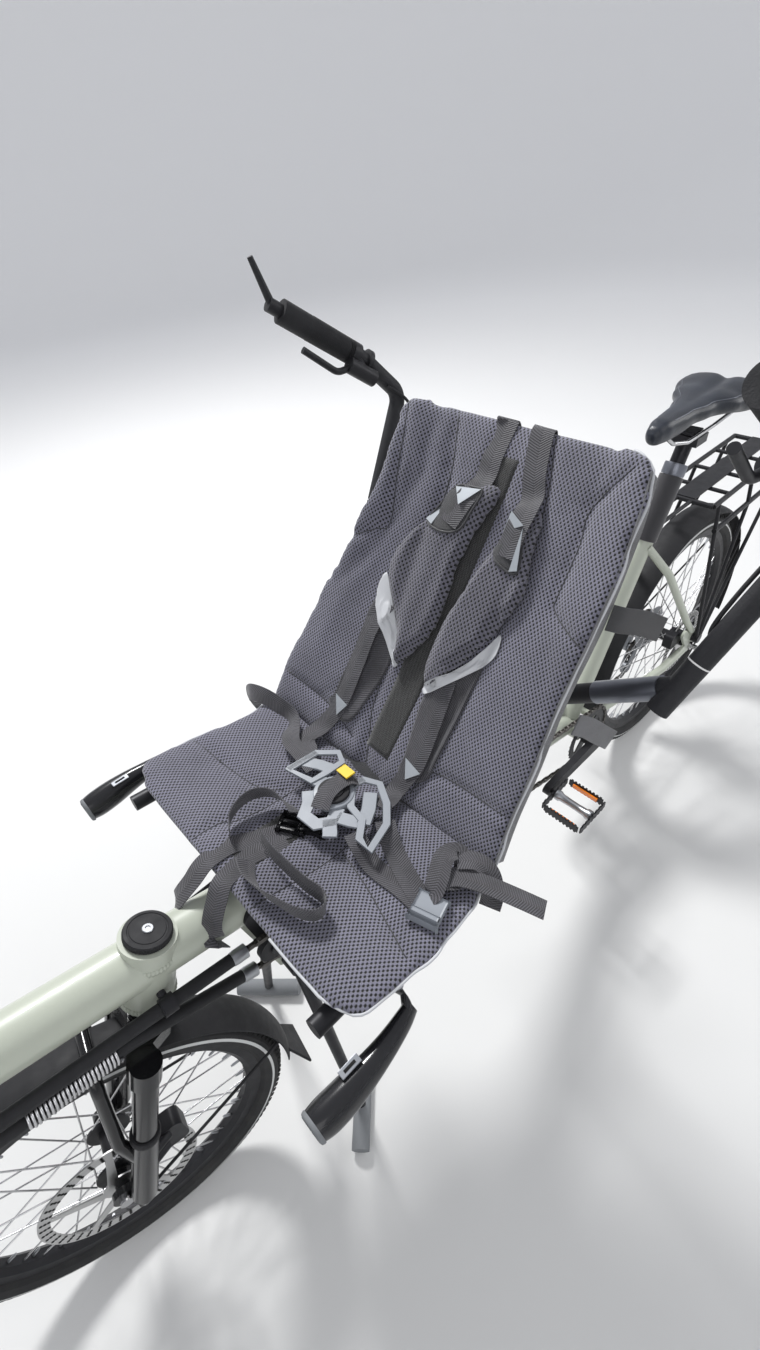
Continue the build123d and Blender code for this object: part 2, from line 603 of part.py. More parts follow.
def pedal(body, name, centre, angle, side):
    """Cage pedal: a barrel with two end plates and a toothed frame round it."""
    a = radians(angle + (0 if side > 0 else 180))
    eye = centre + at(CRANK_L * cos(a), 0, CRANK_L * sin(a))
    y_in, y_out = side * (PEDAL_Y + 6), side * (PEDAL_Y + 92)
    barrel = rod(eye + LEFT * y_in, eye + LEFT * y_out, 10)
    low = min(y_in, y_out)
    cage = Pos(eye.X, low + 43, eye.Z) * Box(88, 86, 16)
    cage -= Pos(eye.X, low + 43, eye.Z) * Box(80, 78, 30)
    body_shape = barrel + cage
    for y in (y_in, y_out):
        inner = y + side * (4 if y == y_in else -4)
        body_shape += Pos(eye.X, (y + inner) / 2, eye.Z) * Box(82, 4, 16)
    body_shape -= rod(eye + LEFT * (y_in - side), eye + LEFT * (y_out + side), 4.5 + RUN_GAP)
    keep(body, name, body_shape)


stoker_ring = (CHAIN_Y, STOKER_RING_R)
drive_ring = (-RIGHT_CHAIN_Y, DRIVE_RING_R)
crankset("front_crank", "front_crankset", FRONT_BB, FRONT_CRANK_ANGLE, (stoker_ring,))
crankset("rear_crank", "rear_crankset", BB_POINT, REAR_CRANK_ANGLE, (stoker_ring, drive_ring))
pedal("front_left_pedal", "pedal_front_left", FRONT_BB, FRONT_CRANK_ANGLE, 1)
pedal("front_right_pedal", "pedal_front_right", FRONT_BB, FRONT_CRANK_ANGLE, -1)
pedal("rear_left_pedal", "pedal_rear_left", BB_POINT, REAR_CRANK_ANGLE, 1)
pedal("rear_right_pedal", "pedal_rear_right", BB_POINT, REAR_CRANK_ANGLE, -1)

# Chains: a band that clears its wheels, over and under

CHAIN_H = 8.0
CHAIN_W = 6.0
CHAIN_GAP = 0.6
IDLER = at(IDLER_AT[0], CHAIN_Y, IDLER_AT[1])
IDLER_R = 24.0
UPPER_MOUTH = (3.0, 606.0)
LOWER_BEND = (-118.0, 558.0)
LOWER_MOUTH = (18.0, 583.0)
JOCKEY_TOP = REAR_HUB + at(GUIDE_AT[0], -RIGHT_CHAIN_Y, GUIDE_AT[1])
JOCKEY_LOW = REAR_HUB + at(TENSION_AT[0], -RIGHT_CHAIN_Y, TENSION_AT[1])
JOCKEY_R = 17.0
COG_R = 34.0


def tangent(a, ra, b, rb, side, crossed=False):
    """Where a straight run touches two circles, on the same side or crossing between them, in XZ."""
    dx, dz = b[0] - a[0], b[1] - a[1]
    reach = (ra + rb if crossed else ra - rb) / sqrt(dx * dx + dz * dz)
    turn = atan2(dz, dx) + side * acos(reach)
    nx, nz = cos(turn), sin(turn)
    far = -rb if crossed else rb
    return (a[0] + ra * nx, a[1] + ra * nz), (b[0] + far * nx, b[1] + far * nz)


def run(p, q, y):
    """One straight stretch of chain."""
    return plate_bar(p, q, CHAIN_H / 2, CHAIN_H / 2, y - CHAIN_W / 2, y + CHAIN_W / 2)


def wrap(centre, r, y, start, sweep_angle):
    """Chain round part of a wheel, angles in degrees in XZ."""
    inner, outer = r + CHAIN_GAP, r + CHAIN_GAP + CHAIN_H

    def p(rr, deg):
        return (centre[0] + rr * cos(radians(deg)), centre[1] + rr * sin(radians(deg)))

    mid, end = start + sweep_angle / 2, start + sweep_angle
    outline = [
        ThreePointArc(p(inner, start), p(inner, mid), p(inner, end)),
        Line(p(inner, end), p(outer, end)),
        ThreePointArc(p(outer, end), p(outer, mid), p(outer, start)),
        Line(p(outer, start), p(inner, start)),
    ]
    return slab(outline, y - CHAIN_W / 2, y + CHAIN_W / 2)


def angle_of(centre, point):
    return degrees(atan2(point[1] - centre[1], point[0] - centre[0]))


def flat(v):
    return (v.X, v.Z)


half_chain = CHAIN_GAP + CHAIN_H / 2
ring_mid = STOKER_RING_R + half_chain
drive_mid = DRIVE_RING_R + half_chain
idler_mid = IDLER_R + half_chain
cog_mid = COG_R + half_chain
jockey_mid = JOCKEY_R + half_chain
ring_f, ring_r, idle = flat(FRONT_BB), flat(BB_POINT), flat(IDLER)


def turn_round(centre, r, y, first, last):
    """Chain round a wheel, anticlockwise from one touching point to the next."""
    start = angle_of(centre, first)
    return wrap(centre, r, y, start, (angle_of(centre, last) - start) % 360)


up_a, up_b = tangent(ring_f, ring_mid, UPPER_MOUTH, 0, -1)
top_a, top_b = tangent(idle, idler_mid, UPPER_MOUTH, 0, 1)
top_c, top_d = tangent(idle, idler_mid, ring_r, ring_mid, -1)
bot_a, bot_b = tangent(idle, idler_mid, LOWER_BEND, 0, -1)
bot_c, bot_d = tangent(idle, idler_mid, ring_r, ring_mid, 1)
low_a, low_b = tangent(ring_f, ring_mid, LOWER_MOUTH, 0, 1)
front_chain = turn_round(ring_f, STOKER_RING_R, CHAIN_Y, low_a, up_a)
front_chain += turn_round(ring_r, STOKER_RING_R, CHAIN_Y, top_d, bot_d)
front_chain += turn_round(idle, IDLER_R, CHAIN_Y, top_a, top_c) + turn_round(idle, IDLER_R, CHAIN_Y, bot_c, bot_a)
for p, q in ((up_a, UPPER_MOUTH), (UPPER_MOUTH, top_a), (top_c, top_d), (bot_c, bot_d), (bot_a, LOWER_BEND),
             (LOWER_BEND, LOWER_MOUTH), (LOWER_MOUTH, low_a)):
    front_chain += run(p, q, CHAIN_Y)
keep("frame", "front_chain", front_chain)

ry = -RIGHT_CHAIN_Y
cog, guide, tension = flat(REAR_HUB), flat(JOCKEY_TOP), flat(JOCKEY_LOW)
rt_a, rt_b = tangent(ring_r, drive_mid, cog, cog_mid, -1)
cg_a, cg_b = tangent(cog, cog_mid, guide, jockey_mid, -1, True)
gt_a, gt_b = tangent(guide, jockey_mid, tension, jockey_mid, 1, True)
rb_a, rb_b = tangent(ring_r, drive_mid, tension, jockey_mid, 1)
rear_chain = turn_round(ring_r, DRIVE_RING_R, ry, rb_a, rt_a) + turn_round(cog, COG_R, ry, rt_b, cg_a)
rear_chain += turn_round(guide, JOCKEY_R, ry, gt_a, cg_b) + turn_round(tension, JOCKEY_R, ry, gt_b, rb_b)
for p, q in ((rt_a, rt_b), (cg_a, cg_b), (gt_a, gt_b), (rb_a, rb_b)):
    rear_chain += run(p, q, ry)
keep("frame", "rear_chain", rear_chain)

# Chain tubes, the ribbed sleeve on the lower one, and the idler that leads into them

TUBE_R = 8.0
TUBE_BORE = 6.2
TUBE_BEND_R = 60.0
SLEEVE_R = 12.5
SLEEVE_RIBS = 22
SLEEVE_START_X = -104.0
SLEEVE_END_X = -14.0


def between(p, q, share):
    return at(p[0] + (q[0] - p[0]) * share, CHAIN_Y, p[1] + (q[1] - p[1]) * share)


tube_up = tube(between(top_a, UPPER_MOUTH, 0.14), between(top_a, UPPER_MOUTH, 0.995), TUBE_R, TUBE_BORE)
bend_at = at(LOWER_BEND[0], CHAIN_Y, LOWER_BEND[1])
low_path = [between(bot_a, LOWER_BEND, 0.14), bend_at, between(LOWER_BEND, LOWER_MOUTH, 0.99)]
low_bore = [between(bot_a, LOWER_BEND, 0.1), bend_at, between(LOWER_BEND, LOWER_MOUTH, 1.03)]
tube_low = bent(low_path, TUBE_R, TUBE_BEND_R) - bent(low_bore, TUBE_BORE, TUBE_BEND_R)
keep("frame", "chain_tubes", Compound([tube_up, tube_low.solids()[0]]))

tube_run = LOWER_MOUTH[0] - LOWER_BEND[0]
sleeve_a = between(LOWER_BEND, LOWER_MOUTH, (SLEEVE_START_X - LOWER_BEND[0]) / tube_run)
sleeve_b = between(LOWER_BEND, LOWER_MOUTH, (SLEEVE_END_X - LOWER_BEND[0]) / tube_run)
sleeve_l = (sleeve_b - sleeve_a).length
rib = sleeve_l / SLEEVE_RIBS
sleeve_pts = [(TUBE_R + SEAT_GAP, sleeve_l), (TUBE_R + SEAT_GAP, 0)]
for k in range(SLEEVE_RIBS):
    sleeve_pts += [(SLEEVE_R - 2, rib * k), (SLEEVE_R, rib * (k + 0.25)), (SLEEVE_R, rib * (k + 0.75))]
sleeve_pts.append((SLEEVE_R - 2, sleeve_l))
sleeve = revolve(Plane.XZ * make_face(Polyline(*sleeve_pts, close=True)), axis=Axis.Z)
keep("frame", "tube_spring", Plane(origin=sleeve_a, z_dir=sleeve_b - sleeve_a) * sleeve)

idler = rod(IDLER + LEFT * -4.5, IDLER + LEFT * 4.5, IDLER_R) - rod(
    IDLER + LEFT * -6, IDLER + LEFT * 6, 5 + RUN_GAP)
keep("frame", "chain_idler", idler)
bracket = rod(IDLER + LEFT * -22, IDLER + LEFT * 7, 5) + rod(IDLER + LEFT * 4.8, IDLER + LEFT * 8, 9)
bracket += plate_bar(idle, (IDLER.X + 4, main_z(IDLER.X + 4)), 12, 16, CHAIN_Y - 22, CHAIN_Y - 12)
clip_at = between(top_a, UPPER_MOUTH, 0.45)
clip = tube(clip_at - at(8, 0, 1.4), clip_at + at(8, 0, 1.4), TUBE_R + 3, TUBE_R + SEAT_GAP / 3)
clip += rod(clip_at - LEFT * (TUBE_R + 2), at(clip_at.X, MAIN_R - 6, clip_at.Z + 6), 5)
clip -= main
clip -= tube_up
bracket -= main
keep("frame", "idler_bracket", Compound([bracket.solids().sort_by(SortBy.VOLUME)[-1],
                                         clip.solids().sort_by(SortBy.VOLUME)[-1]]))

# Rear derailleur

cage_in, cage_out = ry + 6, ry - 6
CAGE_T = 3.0
mech = plate_bar(guide, tension, 12, 12, cage_out - CAGE_T, cage_out)
mech += plate_bar(guide, tension, 12, 12, cage_in, cage_in + CAGE_T)
for p in (JOCKEY_TOP, JOCKEY_LOW):
    mech += rod(at(p.X, cage_out - CAGE_T, p.Z), at(p.X, cage_in + CAGE_T, p.Z), 3)
    mech += rod(at(p.X, ry - 4, p.Z), at(p.X, ry + 4, p.Z), JOCKEY_R)
hanger_at = (REAR_HUB.X + HANGER[0], REAR_HUB.Z + HANGER[1])
mech += plate_bar(guide, hanger_at, 13, 10, -DROPOUT_SPAN, -DROPOUT_SPAN + 9)
mech += rod(at(guide[0], -DROPOUT_SPAN, guide[1]), at(guide[0], cage_out - 1, guide[1]), 10)
keep("frame", "rear_derailleur", mech)

# Rear axle and brake calipers

AXLE_END = 92.0
rear_axle = rod(REAR_HUB - LEFT * 84, REAR_HUB + LEFT * AXLE_END, AXLE_R)
rear_axle += rod(REAR_HUB + LEFT * (DROPOUT_SPAN + DROP_T), REAR_HUB + LEFT * 80, NUT_R + 1)
rear_axle += rod(REAR_HUB - LEFT * 80, REAR_HUB - LEFT * (DROPOUT_SPAN + DROP_T), NUT_R + 1)
keep("frame", "rear_axle", rear_axle)


def caliper(mid, y0, y1, size):
    """Caliper body with round edges, before the disc's slot is cut."""
    block = Pos(mid.X, (y0 + y1) / 2, mid.Z) * Box(size[0], y1 - y0, size[1])
    block = fillet(block.edges().filter_by(Axis.Y), 11)
    return block


rear_cal_mid = REAR_HUB + at(REAR_CALIPER_AT[0], 0, REAR_CALIPER_AT[1])
rear_post = REAR_HUB + at(REAR_POST_AT[0], 0, REAR_POST_AT[1])
rear_cal = caliper(rear_cal_mid, REAR_DISC_Y - 12, REAR_DISC_Y + 9, (50, 38))
rear_cal -= rod(REAR_HUB + LEFT * (REAR_DISC_Y - DISC_SLOT), REAR_HUB + LEFT * (REAR_DISC_Y + DISC_SLOT),
                REAR_DISC_R + 4)
rear_cal += rod(rear_post + LEFT * (REAR_DISC_Y + 5), rear_post + LEFT * DROPOUT_SPAN, 8)
rear_cal -= chain_stays
rear_cal -= seat_stays
keep("frame", "rear_caliper", rear_cal.solids().sort_by(SortBy.VOLUME)[-1])

front_cal_mid = fork_at(LEG_FWD - 38, 0, 76)
front_cal = caliper(front_cal_mid, FRONT_DISC_Y - 13, FRONT_DISC_Y + 12, (40, 48))
front_cal -= rod(FRONT_HUB + LEFT * (FRONT_DISC_Y - DISC_SLOT), FRONT_HUB + LEFT * (FRONT_DISC_Y + DISC_SLOT),
                 FRONT_DISC_R + 4)
front_cal += rod(fork_at(LEG_FWD - 34, FRONT_DISC_Y + 10, 88), fork_at(LEG_FWD - 6, LEG_SPAN, 88), 7)
front_cal += rod(fork_at(LEG_FWD - 34, FRONT_DISC_Y + 10, 62), fork_at(LEG_FWD - 6, LEG_SPAN, 62), 7)
front_cal -= lowers
keep("fork", "front_caliper", front_cal.solids().sort_by(SortBy.VOLUME)[-1])

# Stoker's seat

PAN_DIR = Vector(SEAT_CREASE[0] - SEAT_FRONT[0], 0, SEAT_CREASE[1] - SEAT_FRONT[1]).normalized()
BACKREST_DIR = Vector(SEAT_TOP[0] - SEAT_CREASE[0], 0, SEAT_TOP[1] - SEAT_CREASE[1]).normalized()
PAN_UP = Vector(PAN_DIR.Z, 0, -PAN_DIR.X)
BACKREST_UP = Vector(BACKREST_DIR.Z, 0, -BACKREST_DIR.X)


def pad_section(point, along, up, half, sag):
    """Cross-section of a slung pad: a shallow trough with round edges."""
    plane = Plane(origin=point, x_dir=LEFT, z_dir=along)
    s = 1 if plane.y_dir.dot(up) > 0 else -1
    w, t = half - PAD_EDGE_R, PAD_T
    return plane * make_face([
        ThreePointArc((-w, 0), (0, -s * sag), (w, 0)),
        ThreePointArc((w, 0), (half, -s * t / 2), (w, -s * t)),
        ThreePointArc((w, -s * t), (0, -s * (sag + t)), (-w, -s * t)),
        ThreePointArc((-w, -s * t), (-half, -s * t / 2), (-w, 0)),
    ])


pan_front = Vector(SEAT_FRONT[0], 0, SEAT_FRONT[1])
crease = Vector(SEAT_CREASE[0], 0, SEAT_CREASE[1])
back_top = Vector(SEAT_TOP[0], 0, SEAT_TOP[1])
PAN_CORNER = 40.0
CORNER_IN = 14.0
BACK_MID = 250.0
pan_end = crease - PAN_DIR * CREASE_GAP
pan = loft([
    pad_section(pan_front, PAN_DIR, PAN_UP, SEAT_HALF[0] - CORNER_IN, 1),
    pad_section(pan_front + PAN_DIR * PAN_CORNER, PAN_DIR, PAN_UP, SEAT_HALF[0], PAN_SAG),
    pad_section(pan_end, PAN_DIR, PAN_UP, SEAT_HALF[1], PAD_SAG),
], ruled=True)
pan = Pos(*(PAN_UP * -PAN_SET)) * pan
keep("frame", "seat_pan_pad", pan)
back_start = crease + BACKREST_DIR * CREASE_GAP
back_mid = crease + BACKREST_DIR * BACK_MID
back_half = SEAT_HALF[1] + (SEAT_HALF[2] - SEAT_HALF[1]) * BACK_MID / (back_top - crease).length
backrest = loft([
    pad_section(back_start, BACKREST_DIR, BACKREST_UP, SEAT_HALF[1], PAD_SAG),
    pad_section(back_mid, BACKREST_DIR, BACKREST_UP, back_half, BACK_SAG),
    pad_section(back_top, BACKREST_DIR, BACKREST_UP, SEAT_HALF[2], 1),
], ruled=True)
backrest = Pos(*(BACKREST_UP * -BACK_SET)) * backrest
keep("frame", "seat_back_pad", backrest)

drop_t = PAD_T + SEAT_RAIL_R + PAD_LIFT
side_y = SEAT_HALF[0] - RAIL_IN
crease_y = SEAT_HALF[1] - RAIL_IN
top_y = SEAT_HALF[2] - RAIL_IN
tube_front = pan_front - PAN_UP * drop_t - PAN_DIR * STUB
corner_z = crease - (PAN_UP + BACKREST_UP).normalized() * (drop_t / PAN_UP.dot((PAN_UP + BACKREST_UP).normalized()))
tube_top = back_top - BACKREST_UP * drop_t - BACKREST_DIR * 12


def back_half_at(s):
    """Half the seat back's width at a distance up from the crease."""
    return SEAT_HALF[1] + (SEAT_HALF[2] - SEAT_HALF[1]) * s / (back_top - crease).length


def seat_side(side):
    return [tube_front + LEFT * (side * side_y), corner_z + LEFT * (side * crease_y),
            tube_top + LEFT * (side * top_y)]


loop_pts = seat_side(1) + list(reversed(seat_side(-1)))
seat_frame = bent(loop_pts, SEAT_RAIL_R, 45.0)
cross_pan = pan_front - PAN_UP * (drop_t + CROSS_DROP) + PAN_DIR * 60
cross_rear = crease - PAN_UP * (drop_t + CROSS_DROP) - PAN_DIR * 50
cross_back = crease + BACKREST_DIR * CROSS_BACK_S - BACKREST_UP * (drop_t + CROSS_DROP)
for c, y in ((cross_pan, side_y), (cross_rear, crease_y), (cross_back, back_half_at(CROSS_BACK_S) - RAIL_IN)):
    seat_frame += rod(c - LEFT * y, c + LEFT * y, CROSS_R)
FOOT_HALF = 26.0
for c in (cross_pan, cross_rear):
    seat_frame += Pos(c.X, 0, (c.Z + main_z(c.X)) / 2) * Box(44, 2 * FOOT_HALF, c.Z - main_z(c.X))
STRUT_FOOT_T = 120.0
for side in (1, -1):
    strut_foot = MAIN_BEND + BACK_DIR * STRUT_FOOT_T + at(0, side * 22, 18)
    seat_frame += rod(cross_back + LEFT * (side * 70), strut_foot, CROSS_R - 1)
seat_frame -= main
keep("frame", "seat_frame", seat_frame.solids().sort_by(SortBy.VOLUME)[-1])

HANDLE_IN = (-336.0, 597.0)
HANDLE_OUT = (-216.0, 592.0)
HANDLE_SECTIONS = ((0.0, 20.0, 22.0), (0.45, 26.0, 26.0), (1.0, 32.0, 38.0))
CLAMP_R = SEAT_RAIL_R + 1.9
handle_y = SEAT_HALF[0] + HANDLE_OUT_Y
handles = []
for side in (1, -1):
    sections = []
    for share, w, h in HANDLE_SECTIONS:
        x = HANDLE_IN[0] + (HANDLE_OUT[0] - HANDLE_IN[0]) * share
        z = HANDLE_IN[1] + (HANDLE_OUT[1] - HANDLE_IN[1]) * share
        sections.append(Plane(origin=at(x, side * handle_y, z), x_dir=LEFT, z_dir=at(1, 0, 0))
                        * RectangleRounded(w, h, w * 0.42))
    handle = loft(sections)
    rail_a, rail_b, _ = seat_side(side)
    rail_dir = (rail_b - rail_a).normalized()
    base = rail_a + rail_dir * HANDLE_CLAMP_AT
    handle += rod(at(HANDLE_IN[0] + 6, side * handle_y, HANDLE_IN[1]), base, 9)
    handle += rod(base - rail_dir * 14, base + rail_dir * 14, CLAMP_R)
    handle -= rod(base - rail_dir * 40, base + rail_dir * 40, SEAT_RAIL_R + SEAT_GAP / 6)
    handles.append(handle.solids().sort_by(SortBy.VOLUME)[-1])
keep("frame", "side_handles", Compound(handles))

# Harness, plain soft forms just above the pads

HARNESS_GAP = 0.5
HARNESS_SPAN = (0.23, 0.79)
HARNESS_W = 62.0
back_len = (back_top - crease).length
harness = []
for side in (1, -1):
    low = crease + BACKREST_DIR * (back_len * HARNESS_SPAN[0]) + LEFT * (side * 42)
    high = crease + BACKREST_DIR * (back_len * HARNESS_SPAN[1]) + LEFT * (side * 52)
    plane = Plane(origin=(low + high) * 0.5 - BACKREST_UP * (PAD_T - 1), x_dir=high - low, z_dir=BACKREST_UP)
    pad = plane * extrude(RectangleRounded((high - low).length, HARNESS_W, HARNESS_W * 0.45), amount=PAD_T + 2)
    pad -= Pos(*(BACKREST_UP * HARNESS_GAP)) * backrest
    harness.append(pad.solids().sort_by(SortBy.VOLUME)[-1])
keep("frame", "harness_pads", Compound(harness))
hub_at = crease + PAN_DIR * -60 - PAN_UP * (PAD_T - 1)
buckle = Plane(origin=hub_at, x_dir=PAN_DIR, z_dir=PAN_UP) * extrude(
    RectangleRounded(104, 84, 30), amount=PAD_T + 4)
buckle -= Pos(*(PAN_UP * HARNESS_GAP)) * pan
keep("frame", "harness_buckle", buckle.solids().sort_by(SortBy.VOLUME)[-1])

# Captain's saddle and post

RAIL_R = 3.5
RAIL_Y = 21.0
post_top = BB_POINT + ST_DIR * POST_LEN
head = at(post_top.X - 6, 0, post_top.Z + 6)
rail_z = head.Z + 8 + RAIL_R
nose_x = post_top.X + NOSE_AHEAD
saddle_z = rail_z + SADDLE_RISE
post = rod(seat_tube_top - ST_DIR * POST_INSERT, post_top, POST_R) + Pos(head.X, 0, head.Z) * Box(40, 50, 16)
post += Pos(head.X, 0, head.Z + 8) * Box(34, 2 * (RAIL_Y - RAIL_R - 2), 12)
rails = []
for side in (1, -1):
    rails.append(bent([
        (nose_x - 34, side * 9, saddle_z - 38), (nose_x - 62, side * 12, rail_z + 8),
        (head.X + 52, side * RAIL_Y, rail_z), (head.X - 46, side * RAIL_Y, rail_z),
        (nose_x - SADDLE_L + 46, side * 40, saddle_z - 42)], RAIL_R, 16.0))
post -= rails[0]
post -= rails[1]
keep("frame", "seat_post", post.solids().sort_by(SortBy.VOLUME)[-1])
keep("frame", "saddle_rails", Compound(rails))
saddle_sections = []
for share, w, h, top in (
        (0.0, 30.0, 28.0, -20.0), (0.10, 42.0, 40.0, -8.0), (0.42, 62.0, 44.0, -8.0),
        (0.72, 136.0, 48.0, -2.0), (0.92, 158.0, 50.0, 2.0), (1.0, 128.0, 34.0, -6.0)):
    x = nose_x - SADDLE_L * share
    saddle_sections.append(Plane(origin=at(x, 0, saddle_z + top - h / 2), x_dir=LEFT, z_dir=at(1, 0, 0))
                           * RectangleRounded(w, h, h * 0.46 if w > h else w * 0.46))
saddle = loft(saddle_sections, ruled=True) - rails[0] - rails[1]
keep("frame", "saddle", saddle.solids().sort_by(SortBy.VOLUME)[-1])

# Rear rack

RACK_R = 5.0
RACK_DROP = 58.0
LEG_R = 4.0
LEG_FEET = ((0.07, 2.0), (0.49, -6.0), (0.89, -14.0))
CROSS_SHARES = (0.2, 0.44, 0.72)
FOOT_OUT = 11.0
PLATE_HALF = 20.0
PLATE_T = 3.0
rack_l = RACK_FRONT_X - RACK_BACK_X
rack_mid = (RACK_FRONT_X + RACK_BACK_X) / 2
rack = Pos(rack_mid, 0, RACK_Z + RACK_R) * Box(rack_l, 2 * PLATE_HALF, PLATE_T)
for side in (1, -1):
    rack += rod(at(RACK_FRONT_X, side * RACK_HALF, RACK_Z), at(RACK_BACK_X, side * RACK_HALF, RACK_Z), RACK_R)
    rack += rod(at(RACK_FRONT_X, side * 14, RACK_Z), at(apex.X - 24, side * 14, apex.Z + 42), LEG_R)
for x in (RACK_FRONT_X, RACK_BACK_X):
    rack += rod(at(x, -RACK_HALF, RACK_Z), at(x, RACK_HALF, RACK_Z), RACK_R)
for share in CROSS_SHARES:
    x = RACK_FRONT_X - rack_l * share
    rack += rod(at(x, -RACK_HALF, RACK_Z), at(x, RACK_HALF, RACK_Z), LEG_R)
rack -= rod(BB_POINT, seat_tube_top, SEAT_TUBE_R)
rack = rack.solids().sort_by(SortBy.VOLUME)[-1]
keep("frame", "rack_platform", rack)
racks = []
for side in (1, -1):
    low_y, foot_y = side * (RACK_HALF + 8), side * (DROPOUT_SPAN + DROP_T + FOOT_OUT)
    frame_side = rod(at(RACK_FRONT_X - 20, low_y, RACK_Z - RACK_DROP), at(RACK_BACK_X, low_y, RACK_Z - RACK_DROP), RACK_R)
    for share, foot in LEG_FEET:
        top_x = RACK_FRONT_X - rack_l * share
        mid = at(top_x, low_y, RACK_Z - RACK_DROP)
        frame_side += rod(at(REAR_HUB.X + foot, foot_y, REAR_HUB.Z + 26), mid, LEG_R)
        frame_side += rod(mid, at(top_x, side * RACK_HALF, RACK_Z), LEG_R)
    lug = at(REAR_HUB.X - 4, side * (DROPOUT_SPAN + DROP_T), REAR_HUB.Z + 25)
    frame_side += rod(lug, lug + LEFT * (side * (FOOT_OUT + 5)), 12)
    frame_side -= rack
    racks.append(frame_side.solids().sort_by(SortBy.VOLUME)[-1])
keep("frame", "rack_legs", Compound(racks))

# Stand

PIVOT = at(STAND_PIVOT[0], 0, STAND_PIVOT[1])
bracket_top = main_z(PIVOT.X)
stand_bracket = slab([
    Polyline((PIVOT.X - 44, bracket_top), (PIVOT.X - 20, PIVOT.Z - 14), (PIVOT.X + 16, PIVOT.Z - 16),
             (PIVOT.X + 44, bracket_top), close=True)], -24, 24)
stand_bracket = fillet(stand_bracket.edges().filter_by(Axis.Y).sort_by(Axis.Z)[:2], 10)
stand_bracket -= rod(PIVOT - LEFT * 40, PIVOT + LEFT * 40, 8 + RUN_GAP)
stand_bracket -= main
keep("frame", "stand_bracket", stand_bracket.solids().sort_by(SortBy.VOLUME)[-1])
legs = rod(PIVOT - LEFT * 50, PIVOT + LEFT * 50, 8)
feet = []
for side in (1, -1):
    knee = PIVOT + LEFT * (side * 46)
    foot_mid = at(STAND_FOOT[0], side * STAND_FOOT[1], FOOT_R)
    toe = Vector(cos(radians(45)), side * sin(radians(45)), 0)
    legs += rod(knee, foot_mid + at(0, 0, 4), 10, 8) + rod(PIVOT + LEFT * (side * 26), PIVOT + LEFT * (side * 52), 14)
    pad = rod(foot_mid - toe * (FOOT_L / 2), foot_mid + toe * (FOOT_L / 2), FOOT_R)
    feet.append(pad)
legs -= feet[0]
legs -= feet[1]
keep("stand", "stand_legs", legs.solids().sort_by(SortBy.VOLUME)[-1])
keep("stand", "stand_feet", Compound(feet))

# Turn the steered pieces to where they stand and write everything

STEER_AXIS = Axis(tuple(FORK_BASE), tuple(UP))
COLUMN_AXIS = Axis(tuple(COLUMN_BASE), tuple(UP))
start_pin = fork_at(ARM_FWD, -ARM_SIDE, 0)
turned_pin = (Pos(*start_pin) * Box(1, 1, 1)).rotate(STEER_AXIS, STEER_REST).center()
rod_shift = turned_pin - start_pin
for body in ("fork", "front_wheel"):
    for name in groups[body]:
        parts[name] = parts[name].rotate(STEER_AXIS, STEER_REST)
for name in groups["handlebar"]:
    parts[name] = parts[name].rotate(COLUMN_AXIS, STEER_REST)
parts["tie_rod"] = Pos(*rod_shift) * parts["tie_rod"]

boxes = [shape.bounding_box() for shape in parts.values()]
low = at(*[min(getattr(b.min, k) for b in boxes) for k in "XYZ"])
high = at(*[max(getattr(b.max, k) for b in boxes) for k in "XYZ"])
shift = at(-(low.X + high.X) / 2, -(low.Y + high.Y) / 2, -low.Z)
os.makedirs("parts", exist_ok=True)
for name, shape in parts.items():
    export_step(Pos(*shift) * shape, "parts/" + name + ".step")
print("shift", round(shift.X, 4), round(shift.Y, 4), round(shift.Z, 4))
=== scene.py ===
import math
import json
import bpy
import bmesh
from mathutils import Vector, Matrix
from mathutils.bvhtree import BVHTree


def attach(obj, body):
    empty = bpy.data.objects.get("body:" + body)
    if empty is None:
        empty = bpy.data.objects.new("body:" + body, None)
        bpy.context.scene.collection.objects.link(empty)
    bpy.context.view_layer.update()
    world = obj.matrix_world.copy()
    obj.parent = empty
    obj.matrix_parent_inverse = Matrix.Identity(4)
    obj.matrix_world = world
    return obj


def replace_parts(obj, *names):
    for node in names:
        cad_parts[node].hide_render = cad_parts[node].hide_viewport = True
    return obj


bl_info = {
    "name": "Semi-recumbent tandem",
    "version": (1, 0, 0),
    "blender": (4, 5, 0),
    "location": "View3D > Sidebar > Tandem",
    "description": "Dresses the packed tandem bicycle: seat cover, harness, wheels, drive and finishes",
    "category": "Object",
}

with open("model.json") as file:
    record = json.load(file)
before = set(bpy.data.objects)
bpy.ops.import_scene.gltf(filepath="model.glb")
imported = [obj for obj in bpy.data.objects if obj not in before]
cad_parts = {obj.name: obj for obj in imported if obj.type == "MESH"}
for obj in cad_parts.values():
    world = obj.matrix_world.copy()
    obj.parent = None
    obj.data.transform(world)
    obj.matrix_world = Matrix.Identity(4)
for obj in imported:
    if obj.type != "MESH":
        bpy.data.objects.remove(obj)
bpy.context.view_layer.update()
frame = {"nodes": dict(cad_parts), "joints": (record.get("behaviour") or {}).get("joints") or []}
NODES = frame["nodes"]


def joint(name):
    """One row of the frame's joints."""
    return next(j for j in frame["joints"] if j["name"] == name)


